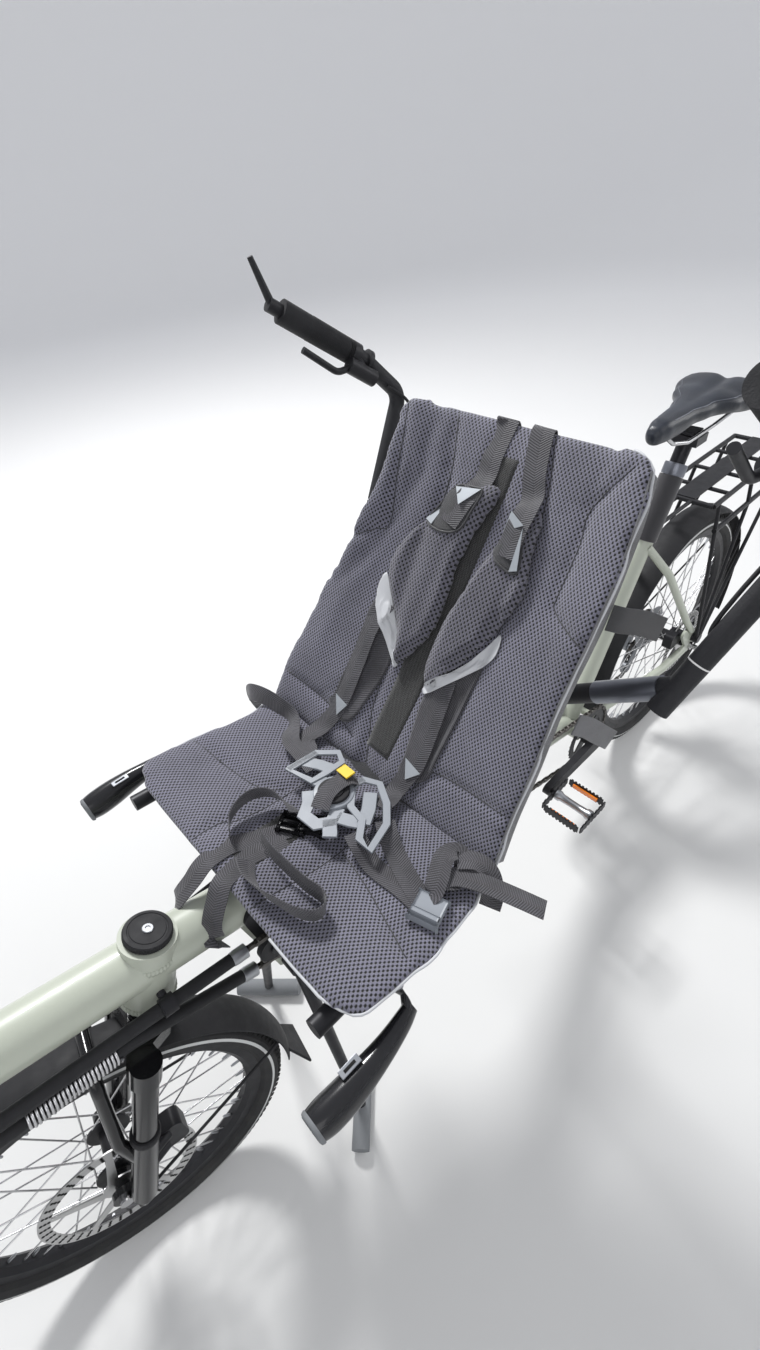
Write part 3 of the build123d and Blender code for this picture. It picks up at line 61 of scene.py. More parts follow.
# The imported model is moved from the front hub's layout by this much, in metres.
SHIFT = Vector(joint("rear_wheel_spin")["pos_m"]) - Vector((-1.458, 0, 0.300))
HEAD = math.radians(69.2)
UP = Vector((-math.cos(HEAD), 0, math.sin(HEAD)))
FWD = Vector((math.sin(HEAD), 0, math.cos(HEAD)))
HANDS = ("left", "right")
AHEAD = Vector((1, 0, 0))
LEFT = Vector((0, 1, 0))
RISE = Vector((0, 0, 1))
AXES = (AHEAD, LEFT, RISE)
STEER_REST = math.radians(-9.5)
SEAT_TUBE = math.radians(64.5)


def at(x, y, z):
    """Point given in millimetres from the front hub's layout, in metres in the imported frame."""
    return Vector((x, y, z)) / 1000 + SHIFT


FORK_BASE = at(0, 0, 250) - FWD * 0.042
COLUMN_BASE = at(-749, 0, 621)
CREASE = at(-523, 0, 620)
SEAT_FRONT = at(-282, 0, 642)
BACK_TOP = at(-812, 0, 1005)
BACK_DIR = (BACK_TOP - CREASE).normalized()
BACK_UP = Vector((BACK_DIR.z, 0, -BACK_DIR.x))
BACK_LEN = (BACK_TOP - CREASE).length
PAN_DIR = (CREASE - SEAT_FRONT).normalized()
PAN_UP = Vector((PAN_DIR.z, 0, -PAN_DIR.x))
PAN_LEN = (CREASE - SEAT_FRONT).length


def steered(p, base):
    """Point turned with the steering, from straight ahead to where it stands."""
    return base + Matrix.Rotation(STEER_REST, 3, UP) @ (p - base)


def fork_at(fwd, side, t):
    """Point on the turned fork, in mm ahead of, beside and up along the steering axis."""
    return steered(FORK_BASE + (FWD * fwd + LEFT * side + UP * t) / 1000, FORK_BASE)


def bar_at(x, y, z):
    """Point on the turned handlebar, given as if it stood straight ahead."""
    return steered(at(x, y, z), COLUMN_BASE)


# Materials


class Finish:
    """One material with a few chained nodes, on Object coordinates or a named UV map."""

    def __init__(self, name, colour, rough, metal=0.0, coat=0.0, sheen=0.0, uv=None):
        self.m = bpy.data.materials.new(name)
        self.m.use_nodes = True
        self.t = self.m.node_tree
        self.b = self.t.nodes["Principled BSDF"]
        self.b.inputs["Base Color"].default_value = (*colour, 1)
        self.b.inputs["Roughness"].default_value = rough
        self.b.inputs["Metallic"].default_value = metal
        self.b.inputs["Coat Weight"].default_value = coat
        self.b.inputs["Sheen Weight"].default_value = sheen
        if uv:
            self.coord = self.node("ShaderNodeUVMap").outputs[0]
            self.coord.node.uv_map = uv
        else:
            self.coord = self.node("ShaderNodeTexCoord").outputs["Object"]

    def node(self, kind, **values):
        """New node with the given properties."""
        n = self.t.nodes.new(kind)
        for k, v in values.items():
            setattr(n, k, v)
        return n

    def put(self, value, socket):
        """Set a socket to a number or a tuple, or link another socket to it."""
        if isinstance(value, (int, float, tuple)):
            socket.default_value = value
        else:
            self.t.links.new(value, socket)

    def math(self, op, a, b=None):
        """Result of a Math node on one or two values."""
        n = self.node("ShaderNodeMath", operation=op)
        self.put(a, n.inputs[0])
        if b is not None:
            self.put(b, n.inputs[1])
        return n.outputs[0]

    def split(self):
        """The coordinates one by one."""
        n = self.node("ShaderNodeSeparateXYZ")
        self.put(self.coord, n.inputs[0])
        return n.outputs

    def noise(self, scale, detail=3.0, stretch=None):
        """Noise on the coordinates, stretched by three factors if given."""
        c = self.coord
        if stretch:
            mp = self.node("ShaderNodeMapping")
            self.put(c, mp.inputs["Vector"])
            mp.inputs["Scale"].default_value = stretch
            c = mp.outputs[0]
        n = self.node("ShaderNodeTexNoise")
        self.put(c, n.inputs["Vector"])
        n.inputs["Scale"].default_value = scale
        n.inputs["Detail"].default_value = detail
        return n.outputs["Fac"]

    def ramp(self, fac, low, high, a=0.0, b=1.0):
        """Map a range of fac onto a to b."""
        n = self.node("ShaderNodeMapRange")
        self.put(fac, n.inputs["Value"])
        for name, v in (("From Min", low), ("From Max", high), ("To Min", a), ("To Max", b)):
            n.inputs[name].default_value = v
        return n.outputs[0]

    def tint(self, fac, other):
        """Mix the base colour so far with another colour by fac."""
        n = self.node("ShaderNodeMix", data_type="RGBA")
        link = self.b.inputs["Base Color"].links
        self.put(fac, n.inputs[0])
        if link:
            self.t.links.new(link[0].from_socket, n.inputs[6])
        else:
            n.inputs[6].default_value = self.b.inputs["Base Color"].default_value[:]
        n.inputs[7].default_value = (*other, 1)
        self.t.links.new(n.outputs[2], self.b.inputs["Base Color"])
        return self

    def roughen(self, fac, low, high):
        """Let fac move the roughness between two values."""
        self.t.links.new(self.ramp(fac, 0.0, 1.0, low, high), self.b.inputs["Roughness"])
        return self

    def bump(self, fac, distance):
        """Add relief, its height in metres, over the relief so far."""
        n = self.node("ShaderNodeBump")
        n.inputs["Distance"].default_value = distance
        self.put(fac, n.inputs["Height"])
        link = self.b.inputs["Normal"].links
        if link:
            self.t.links.new(link[0].from_socket, n.inputs["Normal"])
        self.t.links.new(n.outputs[0], self.b.inputs["Normal"])
        return self


# Finishes darker than this reflect a little less; the cloths' UV map is in metres
DARK = 0.05
CLOTH_UV = "cloth"


def painted(name, colour, rough, metal=0.0, coat=0.0, grain=900.0, depth=0.00004, mottle=0.12):
    """Paint or anodising: fine orange peel, faint dust and slight changes of gloss."""
    f = Finish(name, colour, rough, metal, coat)
    dust = f.noise(9.0, 6.0)
    dark = tuple(c * (1 - mottle) for c in colour)
    f.tint(f.ramp(dust, 0.35, 0.7), dark)
    f.roughen(f.noise(60.0, 4.0), rough * 0.75, min(1.0, rough * 1.35))
    f.bump(f.noise(grain, 2.0), depth)
    if max(colour) < DARK:
        f.b.inputs["Specular IOR Level"].default_value = 0.32
    return f


def mesh_cloth(name, pitch=0.0056, colour=(0.140, 0.138, 0.180), hole=(0.003, 0.003, 0.004)):
    """Spacer mesh: staggered oval holes in a knitted face, the holes painted near black as shade."""
    f = Finish(name, colour, 0.82, sheen=0.35, uv=CLOTH_UV)
    u, v, _ = f.split()
    a = f.math("COSINE", f.math("MULTIPLY", u, 2 * math.pi / pitch))
    b = f.math("COSINE", f.math("MULTIPLY", v, 2 * math.pi / (pitch * 1.25)))
    dots = f.math("MULTIPLY", a, b)
    holes = f.ramp(dots, -0.02, 0.42)
    patches = f.noise(14.0, 5.0)
    f.tint(f.ramp(patches, 0.3, 0.75), tuple(c * 1.35 for c in colour))
    threads = f.noise(700.0, 2.0)
    f.tint(f.ramp(threads, 0.55, 0.85), tuple(c * 2.1 for c in colour))
    # painted shade: the holes are tinted near black, as the shade inside them
    f.tint(holes, hole)
    f.bump(f.math("SUBTRACT", 1.0, holes), 0.0011)
    f.bump(threads, 0.0002)
    return f


def webbing(name, colour, pitch=0.0030):
    """Woven strap: ribs across its width with a fine weave; the crests are tinted lighter, partly as the weave's
    pattern and partly as painted highlight.
    """
    f = Finish(name, colour, 0.62, sheen=0.25, uv=CLOTH_UV)
    u, v, _ = f.split()
    slant = f.math("ADD", v, f.math("MULTIPLY", f.math("ABSOLUTE", f.math("SUBTRACT", u, 0.014)), 0.55))
    ribs = f.math("SINE", f.math("MULTIPLY", slant, 2 * math.pi / pitch))
    weave = f.math("SINE", f.math("MULTIPLY", u, 2 * math.pi / (pitch * 0.6)))
    both = f.math("ADD", f.math("MULTIPLY", ribs, 0.75), f.math("MULTIPLY", weave, 0.25))
    # painted highlight: rib and weave crests four times lighter, partly the weave's own pattern
    f.tint(f.ramp(both, -0.3, 0.8), tuple(min(1.0, c * 4.0) for c in colour))
    f.tint(f.ramp(f.noise(20.0, 4.0), 0.4, 0.8), tuple(c * 0.7 for c in colour))
    f.bump(both, 0.00035)
    return f


MATS = {}


def build_materials():
    """Every finish on the bicycle, by the name that the pieces use."""
    M = MATS
    M["paint"] = painted("frame_paint", (0.47, 0.50, 0.42), 0.36, coat=0.35, grain=1400.0, depth=0.00002, mottle=0.06)
    M["black_gloss"] = painted("gloss_black", (0.010, 0.010, 0.011), 0.14, coat=0.15, mottle=0.1)
    M["black_satin"] = painted("satin_black", (0.022, 0.022, 0.025), 0.42, metal=0.3, mottle=0.2)
    M["black_texture"] = painted("textured_black", (0.020, 0.020, 0.023), 0.55, grain=420.0, depth=0.0004)
    M["anodised"] = painted("black_anodised", (0.030, 0.030, 0.034), 0.33, metal=0.7, mottle=0.2)
    M["silver"] = painted("satin_silver", (0.42, 0.43, 0.45), 0.33, metal=0.95, grain=1500.0, depth=0.00002)
    M["grey_metal"] = painted("grey_metal", (0.25, 0.26, 0.28), 0.38, metal=0.9)
    M["bar_grey"] = painted("grey_sleeve", (0.20, 0.21, 0.24), 0.30, metal=0.85, grain=1500.0, depth=0.00002)
    steel = painted("bright_steel", (0.60, 0.60, 0.61), 0.24, metal=1.0, mottle=0.15)
    steel.bump(steel.noise(1.0, 2.0, stretch=(2600, 160, 2600)), 0.00003)
    M["steel"] = steel
    M["chain"] = painted("chain_steel", (0.16, 0.15, 0.14), 0.42, metal=0.9, mottle=0.5)
    M["matt"] = painted("matt_black_plastic", (0.018, 0.018, 0.020), 0.62, grain=600.0, depth=0.00012)
    M["gloss_plastic"] = painted("gloss_black_plastic", (0.014, 0.014, 0.016), 0.22, coat=0.3)
    M["grey_plastic"] = painted("silver_grey_plastic", (0.26, 0.28, 0.31), 0.40, grain=700.0, depth=0.00008)
    M["yellow"] = painted("yellow_plastic", (0.80, 0.58, 0.02), 0.4)
    M["red"] = painted("red_anodised", (0.45, 0.02, 0.03), 0.32, metal=0.5)
    M["foot"] = painted("grey_rubber", (0.20, 0.21, 0.22), 0.75, grain=500.0, depth=0.0003)
    M["grip"] = painted("grip_rubber", (0.016, 0.016, 0.018), 0.66, grain=520.0, depth=0.0003)
    M["amber"] = Finish("amber_reflector", (0.85, 0.22, 0.02), 0.2, coat=0.5)
    M["amber"].bump(M["amber"].noise(400.0, 1.0), 0.0004)
    M["reflect"] = painted("reflective_patch", (0.42, 0.45, 0.48), 0.35, metal=0.25, grain=1800.0, depth=0.00003)
    # painted shade: near-black colour put in the disc drillings and the handle plates' slots
    M["hole"] = painted("dark_recess", (0.006, 0.006, 0.006), 0.8)
    M["tread"] = painted("tread_rubber", (0.016, 0.016, 0.016), 0.85, grain=700.0, depth=0.0002)
    M["white"] = painted("white_line", (0.75, 0.75, 0.74), 0.45, mottle=0.05)
    M["white_patch"] = painted("white_patch", (0.60, 0.61, 0.63), 0.45, grain=1600.0, depth=0.00006)
    M["piping"] = painted("silver_piping", (0.55, 0.56, 0.58), 0.5, grain=1600.0, depth=0.0001)
    M["mesh"] = mesh_cloth("seat_mesh")
    M["pad_mesh"] = mesh_cloth("pad_mesh", pitch=0.0062, colour=(0.105, 0.102, 0.130))
    # open net whose holes are painted near black as shade
    M["net"] = mesh_cloth("open_net", pitch=0.0030, colour=(0.020, 0.020, 0.019), hole=(0.002, 0.002, 0.002))
    M["wall_cloth"] = webbing("grey_side_cloth", (0.10, 0.10, 0.105), pitch=0.0009)
    M["strap"] = webbing("black_webbing", (0.028, 0.027, 0.031))
    M["binding"] = webbing("black_binding", (0.016, 0.016, 0.018), pitch=0.0011)
    leather = Finish("saddle_cover", (0.011, 0.014, 0.021), 0.32, coat=0.12)
    v = leather.node("ShaderNodeTexVoronoi")
    leather.put(leather.coord, v.inputs["Vector"])
    v.inputs["Scale"].default_value = 620.0
    leather.bump(v.outputs["Distance"], 0.00018)
    leather.roughen(leather.noise(40.0, 4.0), 0.26, 0.46)
    leather.tint(leather.ramp(leather.noise(12.0, 4.0), 0.4, 0.75), (0.020, 0.026, 0.040))
    M["saddle"] = leather
    M["disc"] = painted("brushed_disc", (0.50, 0.50, 0.50), 0.30, metal=1.0, mottle=0.2)


def tyre_material(name, hub, axis, stripe_in, stripe_out):
    """Black rubber with a pale reflective stripe at a set radius on both sides."""
    f = Finish(name, (0.014, 0.014, 0.015), 0.78)
    off = f.node("ShaderNodeVectorMath", operation="SUBTRACT")
    f.put(f.coord, off.inputs[0])
    off.inputs[1].default_value = hub
    dot = f.node("ShaderNodeVectorMath", operation="DOT_PRODUCT")
    f.put(off.outputs[0], dot.inputs[0])
    dot.inputs[1].default_value = axis
    length = f.node("ShaderNodeVectorMath", operation="LENGTH")
    f.put(off.outputs[0], length.inputs[0])
    r2 = f.math("SUBTRACT", f.math("MULTIPLY", length.outputs["Value"], length.outputs["Value"]),
                f.math("MULTIPLY", dot.outputs["Value"], dot.outputs["Value"]))
    r = f.math("SQRT", r2)
    band = f.math("MULTIPLY", f.math("GREATER_THAN", r, stripe_in), f.math("LESS_THAN", r, stripe_out))
    f.tint(f.ramp(f.noise(30.0, 5.0), 0.45, 0.8), (0.030, 0.029, 0.027))
    f.tint(band, (0.62, 0.63, 0.62))
    f.bump(f.noise(900.0, 2.0), 0.0002)
    return f


def dress(node, finish):
    """Give a CAD node one material."""
    mesh = NODES[node].data
    mesh.materials.clear()
    mesh.materials.append(MATS[finish].m)


# Mesh helpers


def add_object(name, verts, faces, finish, body="frame", smooth=True, uvs=None):
    """New piece at the origin; uvs are one pair per vertex, in metres."""
    mesh = bpy.data.meshes.new(name)
    mesh.from_pydata([tuple(v) for v in verts], [], faces)
    mesh.materials.append(MATS[finish].m)
    if uvs:
        layer = mesh.uv_layers.new(name=CLOTH_UV)
        for loop in mesh.loops:
            layer.data[loop.index].uv = uvs[loop.vertex_index]
    mesh.validate()
    mesh.update()
    obj = bpy.data.objects.new(name, mesh)
    if smooth:
        shade(obj, True)
    bpy.context.scene.collection.objects.link(obj)
    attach(obj, body)
    return obj


def shade(obj, smooth):
    """Make all faces smooth, or all flat."""
    obj.data.polygons.foreach_set("use_smooth", [smooth] * len(obj.data.polygons))


def outward(obj):
    """Turn a closed piece's faces outward."""
    bm = bmesh.new()
    bm.from_mesh(obj.data)
    bmesh.ops.recalc_face_normals(bm, faces=bm.faces)
    bm.to_mesh(obj.data)
    bm.free()
    obj.data.update()
    return obj


def curve_points(points, steps=8, closed=False):
    """Smooth line through the given points."""
    pts = [Vector(p) for p in points]
    n = len(pts)
    out = []
    last = n if closed else n - 1
    for i in range(last):
        p0 = pts[(i - 1) % n] if closed or i else pts[0]
        p1, p2 = pts[i % n], pts[(i + 1) % n]
        p3 = pts[(i + 2) % n] if closed or i + 2 < n else pts[-1]
        for k in range(steps):
            t = k / steps
            out.append(0.5 * ((2 * p1) + (p2 - p0) * t + (2 * p0 - 5 * p1 + 4 * p2 - p3) * t * t
                              + (3 * p1 - p0 - 3 * p2 + p3) * t * t * t))
    if not closed:
        out.append(pts[-1])
    return out


def ring_frames(path, closed=False):
    """Side and up vectors along a path, without sudden twist."""
    n = len(path)
    tangents = []
    for i in range(n):
        a = path[(i - 1) % n] if closed or i else path[0]
        b = path[(i + 1) % n] if closed or i + 1 < n else path[-1]
        tangents.append((b - a).normalized())
    side = tangents[0].cross(RISE)
    if side.length < 1e-4:
        side = tangents[0].cross(AHEAD)
    side.normalize()
    frames = []
    for t in tangents:
        side = (side - t * side.dot(t)).normalized()
        frames.append((side, side.cross(t).normalized()))
    return frames


def tube_piece(name, path, radius, finish, body="frame", sides=12, closed=False):
    """Round tube along a path, capped unless it is closed."""
    verts, faces = [], []
    n = len(path)
    for p, (s, u) in zip(path, ring_frames(path, closed)):
        for k in range(sides):
            a = 2 * math.pi * k / sides
            verts.append(p + s * (radius * math.cos(a)) + u * (radius * math.sin(a)))
    for i in range(n if closed else n - 1):
        j = (i + 1) % n
        for k in range(sides):
            m = (k + 1) % sides
            faces.append((i * sides + k, j * sides + k, j * sides + m, i * sides + m))
    if not closed:
        faces.append(tuple(range(sides)))
        faces.append(tuple((n - 1) * sides + k for k in reversed(range(sides))))
    return outward(add_object(name, verts, faces, finish, body))


def ring_quads(rings, sides):
    """Faces between closed rings of vertices that follow one another."""
    faces = []
    for j in range(rings - 1):
        for k in range(sides):
            m = (k + 1) % sides
            faces.append((j * sides + k, j * sides + m, (j + 1) * sides + m, (j + 1) * sides + k))
    return faces


def ring_caps(rings, sides):
    """Faces that close the first and the last ring."""
    return [tuple(reversed(range(sides))), tuple((rings - 1) * sides + k for k in range(sides))]


def ringed(name, verts, sides, finish, body, sharp, uvs=None):
    """Closed piece over rings of vertices, with edges sharp past an angle in degrees."""
    rings = len(verts) // sides
    faces = ring_quads(rings, sides) + ring_caps(rings, sides)
    obj = outward(add_object(name, verts, faces, finish, body, uvs=uvs))
    obj.data.set_sharp_from_angle(angle=math.radians(sharp))
    return obj


def sheet_faces(rows, cols):
    """Faces of two grids, one over the other, closed round their rim; also the rim's vertices."""
    faces = []
    top, w = (rows + 1) * (cols + 1), cols + 1
    for i in range(rows):
        for k in range(cols):
            a = i * w + k
            faces.append((a, a + 1, a + w + 1, a + w))
            faces.append((top + a, top + a + w, top + a + w + 1, top + a + 1))
    rim = list(range(w)) + [i * w + cols for i in range(1, rows + 1)]
    rim += [rows * w + k for k in reversed(range(cols))] + [i * w for i in reversed(range(1, rows))]
    faces += [(a, top + a, top + b, b) for a, b in zip(rim, rim[1:] + rim[:1])]
    return faces, rim


WEB_EDGES = 8
WEB_SHARP = 36


def webbing_piece(name, path, normals, width, thick, finish, body="frame"):
    """Flat webbing along a path with its own face normals, in metres."""
    verts, uvs = [], []
    n = len(path)
    run = 0.0
    for i, p in enumerate(path):
        if i:
            run += (p - path[i - 1]).length
        t = (path[min(i + 1, n - 1)] - path[max(i - 1, 0)]).normalized()
        nor = (normals[i] - t * normals[i].dot(t)).normalized()
        side = t.cross(nor)
        w = width / 2
        e = min(thick * 0.5, w * 0.3)
        for a, b, u in ((-w, -thick / 2, 0), (-w - e * 0.5, 0, 0), (-w, thick / 2, 0), (0, thick / 2, 0.5),
                        (w, thick / 2, 1), (w + e * 0.5, 0, 1), (w, -thick / 2, 1), (0, -thick / 2, 0.5)):
            verts.append(p + side * a + nor * b)
            uvs.append((u * width, run))
    return ringed(name, verts, WEB_EDGES, finish, body, WEB_SHARP, uvs)


def strap(name, points, normals, width, thick, finish="strap", steps=10):
    """Webbing along a smooth line through the given points."""
    normals = [v.normalized() for v in curve_points(normals, steps)]
    obj = webbing_piece(name, curve_points(points, steps), normals, width, thick, finish)
    return obj


def join(name, objs):
    """One piece of several that share a body."""
    if len(objs) == 1:
        objs[0].name = name
        return objs[0]
    with bpy.context.temp_override(active_object=objs[0], selected_editable_objects=objs, object=objs[0],
                                   selected_objects=objs):
        bpy.ops.object.join()
    objs[0].name = name
    return objs[0]


# Seat cover


def smooth_step(a, b, x):
    """0 below a, 1 above b, eased between."""
    t = max(0.0, min(1.0, (x - a) / (b - a)))
    return t * t * (3 - 2 * t)


def table_at(table, x):
    """Value between the rows of a short table of (place, value)."""
    for (a, va), (b, vb) in zip(table, table[1:]):
        if x <= b:
            t = smooth_step(a, b, x)
            return va + (vb - va) * t
    return table[-1][1]


# Half widths of the cover, right side then left side, as (place, half width)
BACK_HALF = (
    ((-16, 222), (45, 226), (164, 210), (277, 184), (371, 169), (450, 176), (481, 178)),
    ((-16, 222), (87, 213), (209, 204), (330, 206), (420, 196), (481, 182)),
)
PAN_HALF = (
    ((0, 214), (20, 232), (90, 228), (179, 212), (250, 226)),
    ((0, 226), (10, 236), (78, 242), (144, 242), (185, 235), (250, 214)),
)
STRIP_HALF = 26


def line_distance(p, a, b):
    """Distance from a point to a straight run between two others."""
    d = (b[0] - a[0], b[1] - a[1])
    t = max(0.0, min(1.0, ((p[0] - a[0]) * d[0] + (p[1] - a[1]) * d[1]) / (d[0] ** 2 + d[1] ** 2)))
    return math.hypot(p[0] - a[0] - d[0] * t, p[1] - a[1] - d[1] * t)


def seam_distance(p, lines):
    """Distance to the nearest of several seams."""
    return min(line_distance(p, a, b) for line in lines for a, b in zip(line, line[1:]))


def half_at(halves, s, y):
    """Half width of the cover on the side that y is on."""
    return table_at(halves[1 if y > 0 else 0], s)


# Sewn lines as (place along the face, place to the left)
BACK_SEAMS = (
    ((-13, -10), (40, -30), (92, -47), (240, -62), (396, -72), (476, -93)),
    ((7, 73), (90, 76), (234, 87), (397, 74), (475, 52)),
    ((266, -205), (277, -179), (300, -146), (317, -131), (415, -151), (470, -166)),
    ((270, 209), (278, 184), (297, 144), (315, 139), (369, 137), (413, 131), (464, 163)),
    ((14, 74), (40, 84), (52, 104), (62, 208)),
    ((48, -212), (40, -120), (20, -52)),
)
PAN_SEAMS = (
    ((8, -67), (46, -66), (63, -57), (128, -50), (240, -50)),
    ((6, 62), (60, 66), (128, 70), (240, 60)),
    ((95, -220), (115, -93), (140, -60)),
    ((90, 225), (119, 135), (132, 72)),
)


def trough(s, y, halves, sag, from_s, to_s, side_rise):
    """Slow height of a slung cover: sagging in the middle, with raised side bolsters, in mm."""
    q = min(1.0, abs(y) / half_at(halves, s, y))
    low = -sag * (1 - q * q) * smooth_step(from_s, to_s, s)
    return low + side_rise * smooth_step(0.6, 0.95, q)


def back_height(s, y):
    """Slow height of the back's cover over its flat, in mm."""
    slung = trough(s, y, BACK_HALF, 13, 0, 140, 6) - 4 * (1 - min(1.0, abs(y) / 200) ** 2)
    q = abs(y) / half_at(BACK_HALF, s, y)
    top = 1 - smooth_step(380, 481, s)
    return slung * (0.45 + 0.55 * top) + 12 * smooth_step(0.62, 0.93, q) * smooth_step(180, 330, s)


def pan_height(s, y):
    """Slow height of the pan's cover over its flat, in mm."""
    return trough(s, y, PAN_HALF, 10, 0, 110, 6)


def seam_press(d, depth, wide):
    """How far thread pulls the cover in at a distance from it, in mm, negative."""
    return -depth * math.exp(-(d / wide) ** 2)


def back_at(s, y, lift=0.0):
    """Point over the back's slow surface; s runs up from the crease and y to the left, in mm."""
    return CREASE + BACK_DIR * (s / 1000) + LEFT * (y / 1000) + BACK_UP * ((back_height(s, y) + lift) / 1000)


def pan_at(s, y, lift=0.0):
    """Point over the pan's slow surface; s runs back from the front edge and y to the left, in mm."""
    return SEAT_FRONT + PAN_DIR * (s / 1000) + LEFT * (y / 1000) + PAN_UP * ((pan_height(s, y) + lift) / 1000)


LOOK_DOWN = 90.0
LOOK_REACH = 0.16


class Side:
    """One of the seat's two faces: where it lies, and what has been laid on it so far."""

    def __init__(self, origin, along, up, place):
        self.origin, self.along, self.up, self.place = origin, along, up, place
        self.trees = []

    def flat(self, s, y, lift):
        """Point at a height over the face's flat, all in mm."""
        return self.origin + self.along * (s / 1000) + LEFT * (y / 1000) + self.up * (lift / 1000)

    def lay(self, obj):
        """Take a piece as laid, so that what comes after lies on it."""
        mesh = obj.data
        self.trees.append(BVHTree.FromPolygons([v.co for v in mesh.vertices], [p.vertices for p in mesh.polygons]))

    def top(self, s, y, lift=0.0):
        """Point so far over whatever lies highest at a place; off the seat it keeps to the slow surface."""
        start = self.place(s, y, LOOK_DOWN)
        best = None
        for tree in self.trees:
            hit = tree.ray_cast(start, -self.up, LOOK_REACH)[0]
            if hit is not None and (best is None or (hit - best).dot(self.up) > 0):
                best = hit
        if best is None:
            best = self.place(s, y, 0.0)
        return best + self.up * (lift / 1000)


BACK = Side(CREASE, BACK_DIR, BACK_UP, back_at)
PAN = Side(SEAT_FRONT, PAN_DIR, PAN_UP, pan_at)


def plane_uv(obj, side):
    """UV map in metres, straight down onto one face of the seat."""
    mesh = obj.data
    layer = mesh.uv_layers.get(CLOTH_UV) or mesh.uv_layers.new(name=CLOTH_UV)
    for loop in mesh.loops:
        d = mesh.vertices[loop.vertex_index].co - side.origin
        layer.data[loop.index].uv = (d.dot(LEFT), d.dot(side.along))


CLOTH_FRAMES = 20
LEAST_PRESS = -0.05
COVER_VOXEL = 0.0085
PAD_VOXEL = 0.0045


def puff(obj, side, cap, voxel, held=None, groove=None, pressure=4.0):
    """Fill a closed form out with Blender's Cloth, held where held(s, y) is true, then press its seams."""
    remesh = obj.modifiers.new("remesh", "REMESH")
    remesh.mode = "VOXEL"
    remesh.voxel_size = voxel
    settle(obj)
    rest = [v.co.copy() for v in obj.data.vertices]
    places = [((p - side.origin).dot(side.along) * 1000, (p - side.origin).dot(LEFT) * 1000) for p in rest]
    pins = [i for i, (s, y) in enumerate(places) if held and held(s, y)]
    cloth = obj.modifiers.new("fill", "CLOTH")
    cloth.settings.use_pressure = True
    cloth.settings.uniform_pressure_force = pressure
    cloth.settings.effector_weights.gravity = 0
    cloth.settings.quality = 3
    if pins:
        group = obj.vertex_groups.new(name="held")
        group.add(pins, 1.0, "REPLACE")
        cloth.settings.vertex_group_mass = "held"
    cloth.point_cache.frame_start, cloth.point_cache.frame_end = 1, CLOTH_FRAMES
    scene = bpy.context.scene
    for f in range(1, CLOTH_FRAMES + 1):
        scene.frame_set(f)
    shape = obj.evaluated_get(bpy.context.evaluated_depsgraph_get()).data
    moved = [v.co.copy() for v in shape.vertices]
    obj.modifiers.remove(cloth)
    scene.frame_set(1)
    obj.vertex_groups.clear()
    for v, old, new in zip(obj.data.vertices, rest, moved):
        step = new - old
        if step.length > cap:
            step *= cap / step.length
        v.co = old + step
    if groove:
        for v, (s, y) in zip(obj.data.vertices, places):
            deep = groove(s, y)
            if deep < LEAST_PRESS:
                v.co += side.up * (deep / 1000)
    sub = obj.modifiers.new("smooth", "SUBSURF")
    sub.levels = sub.render_levels = 1
    settle(obj)
    plane_uv(obj, side)
    shade(obj, True)
    side.lay(obj)


def settle(obj):
    """Make an object's modifiers its own mesh."""
    deps = bpy.context.evaluated_depsgraph_get()
    shape = bpy.data.meshes.new_from_object(obj.evaluated_get(deps))
    obj.modifiers.clear()
    old = obj.data
    name = old.name
    mats = list(old.materials)
    obj.data = shape
    shape.materials.clear()
    for m in mats:
        shape.materials.append(m)
    bpy.data.meshes.remove(old)
    shape.name = name


def cover(name, side, halves, start, end, thick, rows, cols, start_round, end_round):
    """Closed form of one face of the cover: shaped above and below, with rounded edges."""
    verts, places = [], []
    for low in (False, True):
        for i in range(rows + 1):
            s = start + (end - start) * i / rows
            pull = 0.0
            for corner, r in ((s - start, start_round), (end - s, end_round)):
                if corner < r:
                    pull += r - math.sqrt(max(0.0, r ** 2 - (r - corner) ** 2))
            corner = min(s - start, end - s)
            for k in range(cols + 1):
                q = 2 * k / cols - 1
                y = (half_at(halves, s, q) - pull) * (1.35 * q - 0.35 * q ** 3)
                edge = min(1.0, (1 - abs(q)) * cols / 8, (corner + 0.5) / 11)
                soft = (1 - math.sqrt(max(0.0, 1 - (1 - edge) ** 2))) * thick
                verts.append(side.place(s, y, -thick + soft * 0.42 if low else -soft * 0.55))
                places.append((s, y))
    faces, rim = sheet_faces(rows, cols)
    top = len(verts) // 2
    obj = outward(add_object(name, verts, faces, "mesh"))
    return obj, [(*places[a], verts[a] * 0.5 + verts[top + a] * 0.5) for a in rim]


def near_edge(s, y, halves, start, end):
    """Whether a place on the cover is held by its sewn edge."""
    return abs(y) > half_at(halves, s, y) - 7 or s < start + 5 or s > end - 6


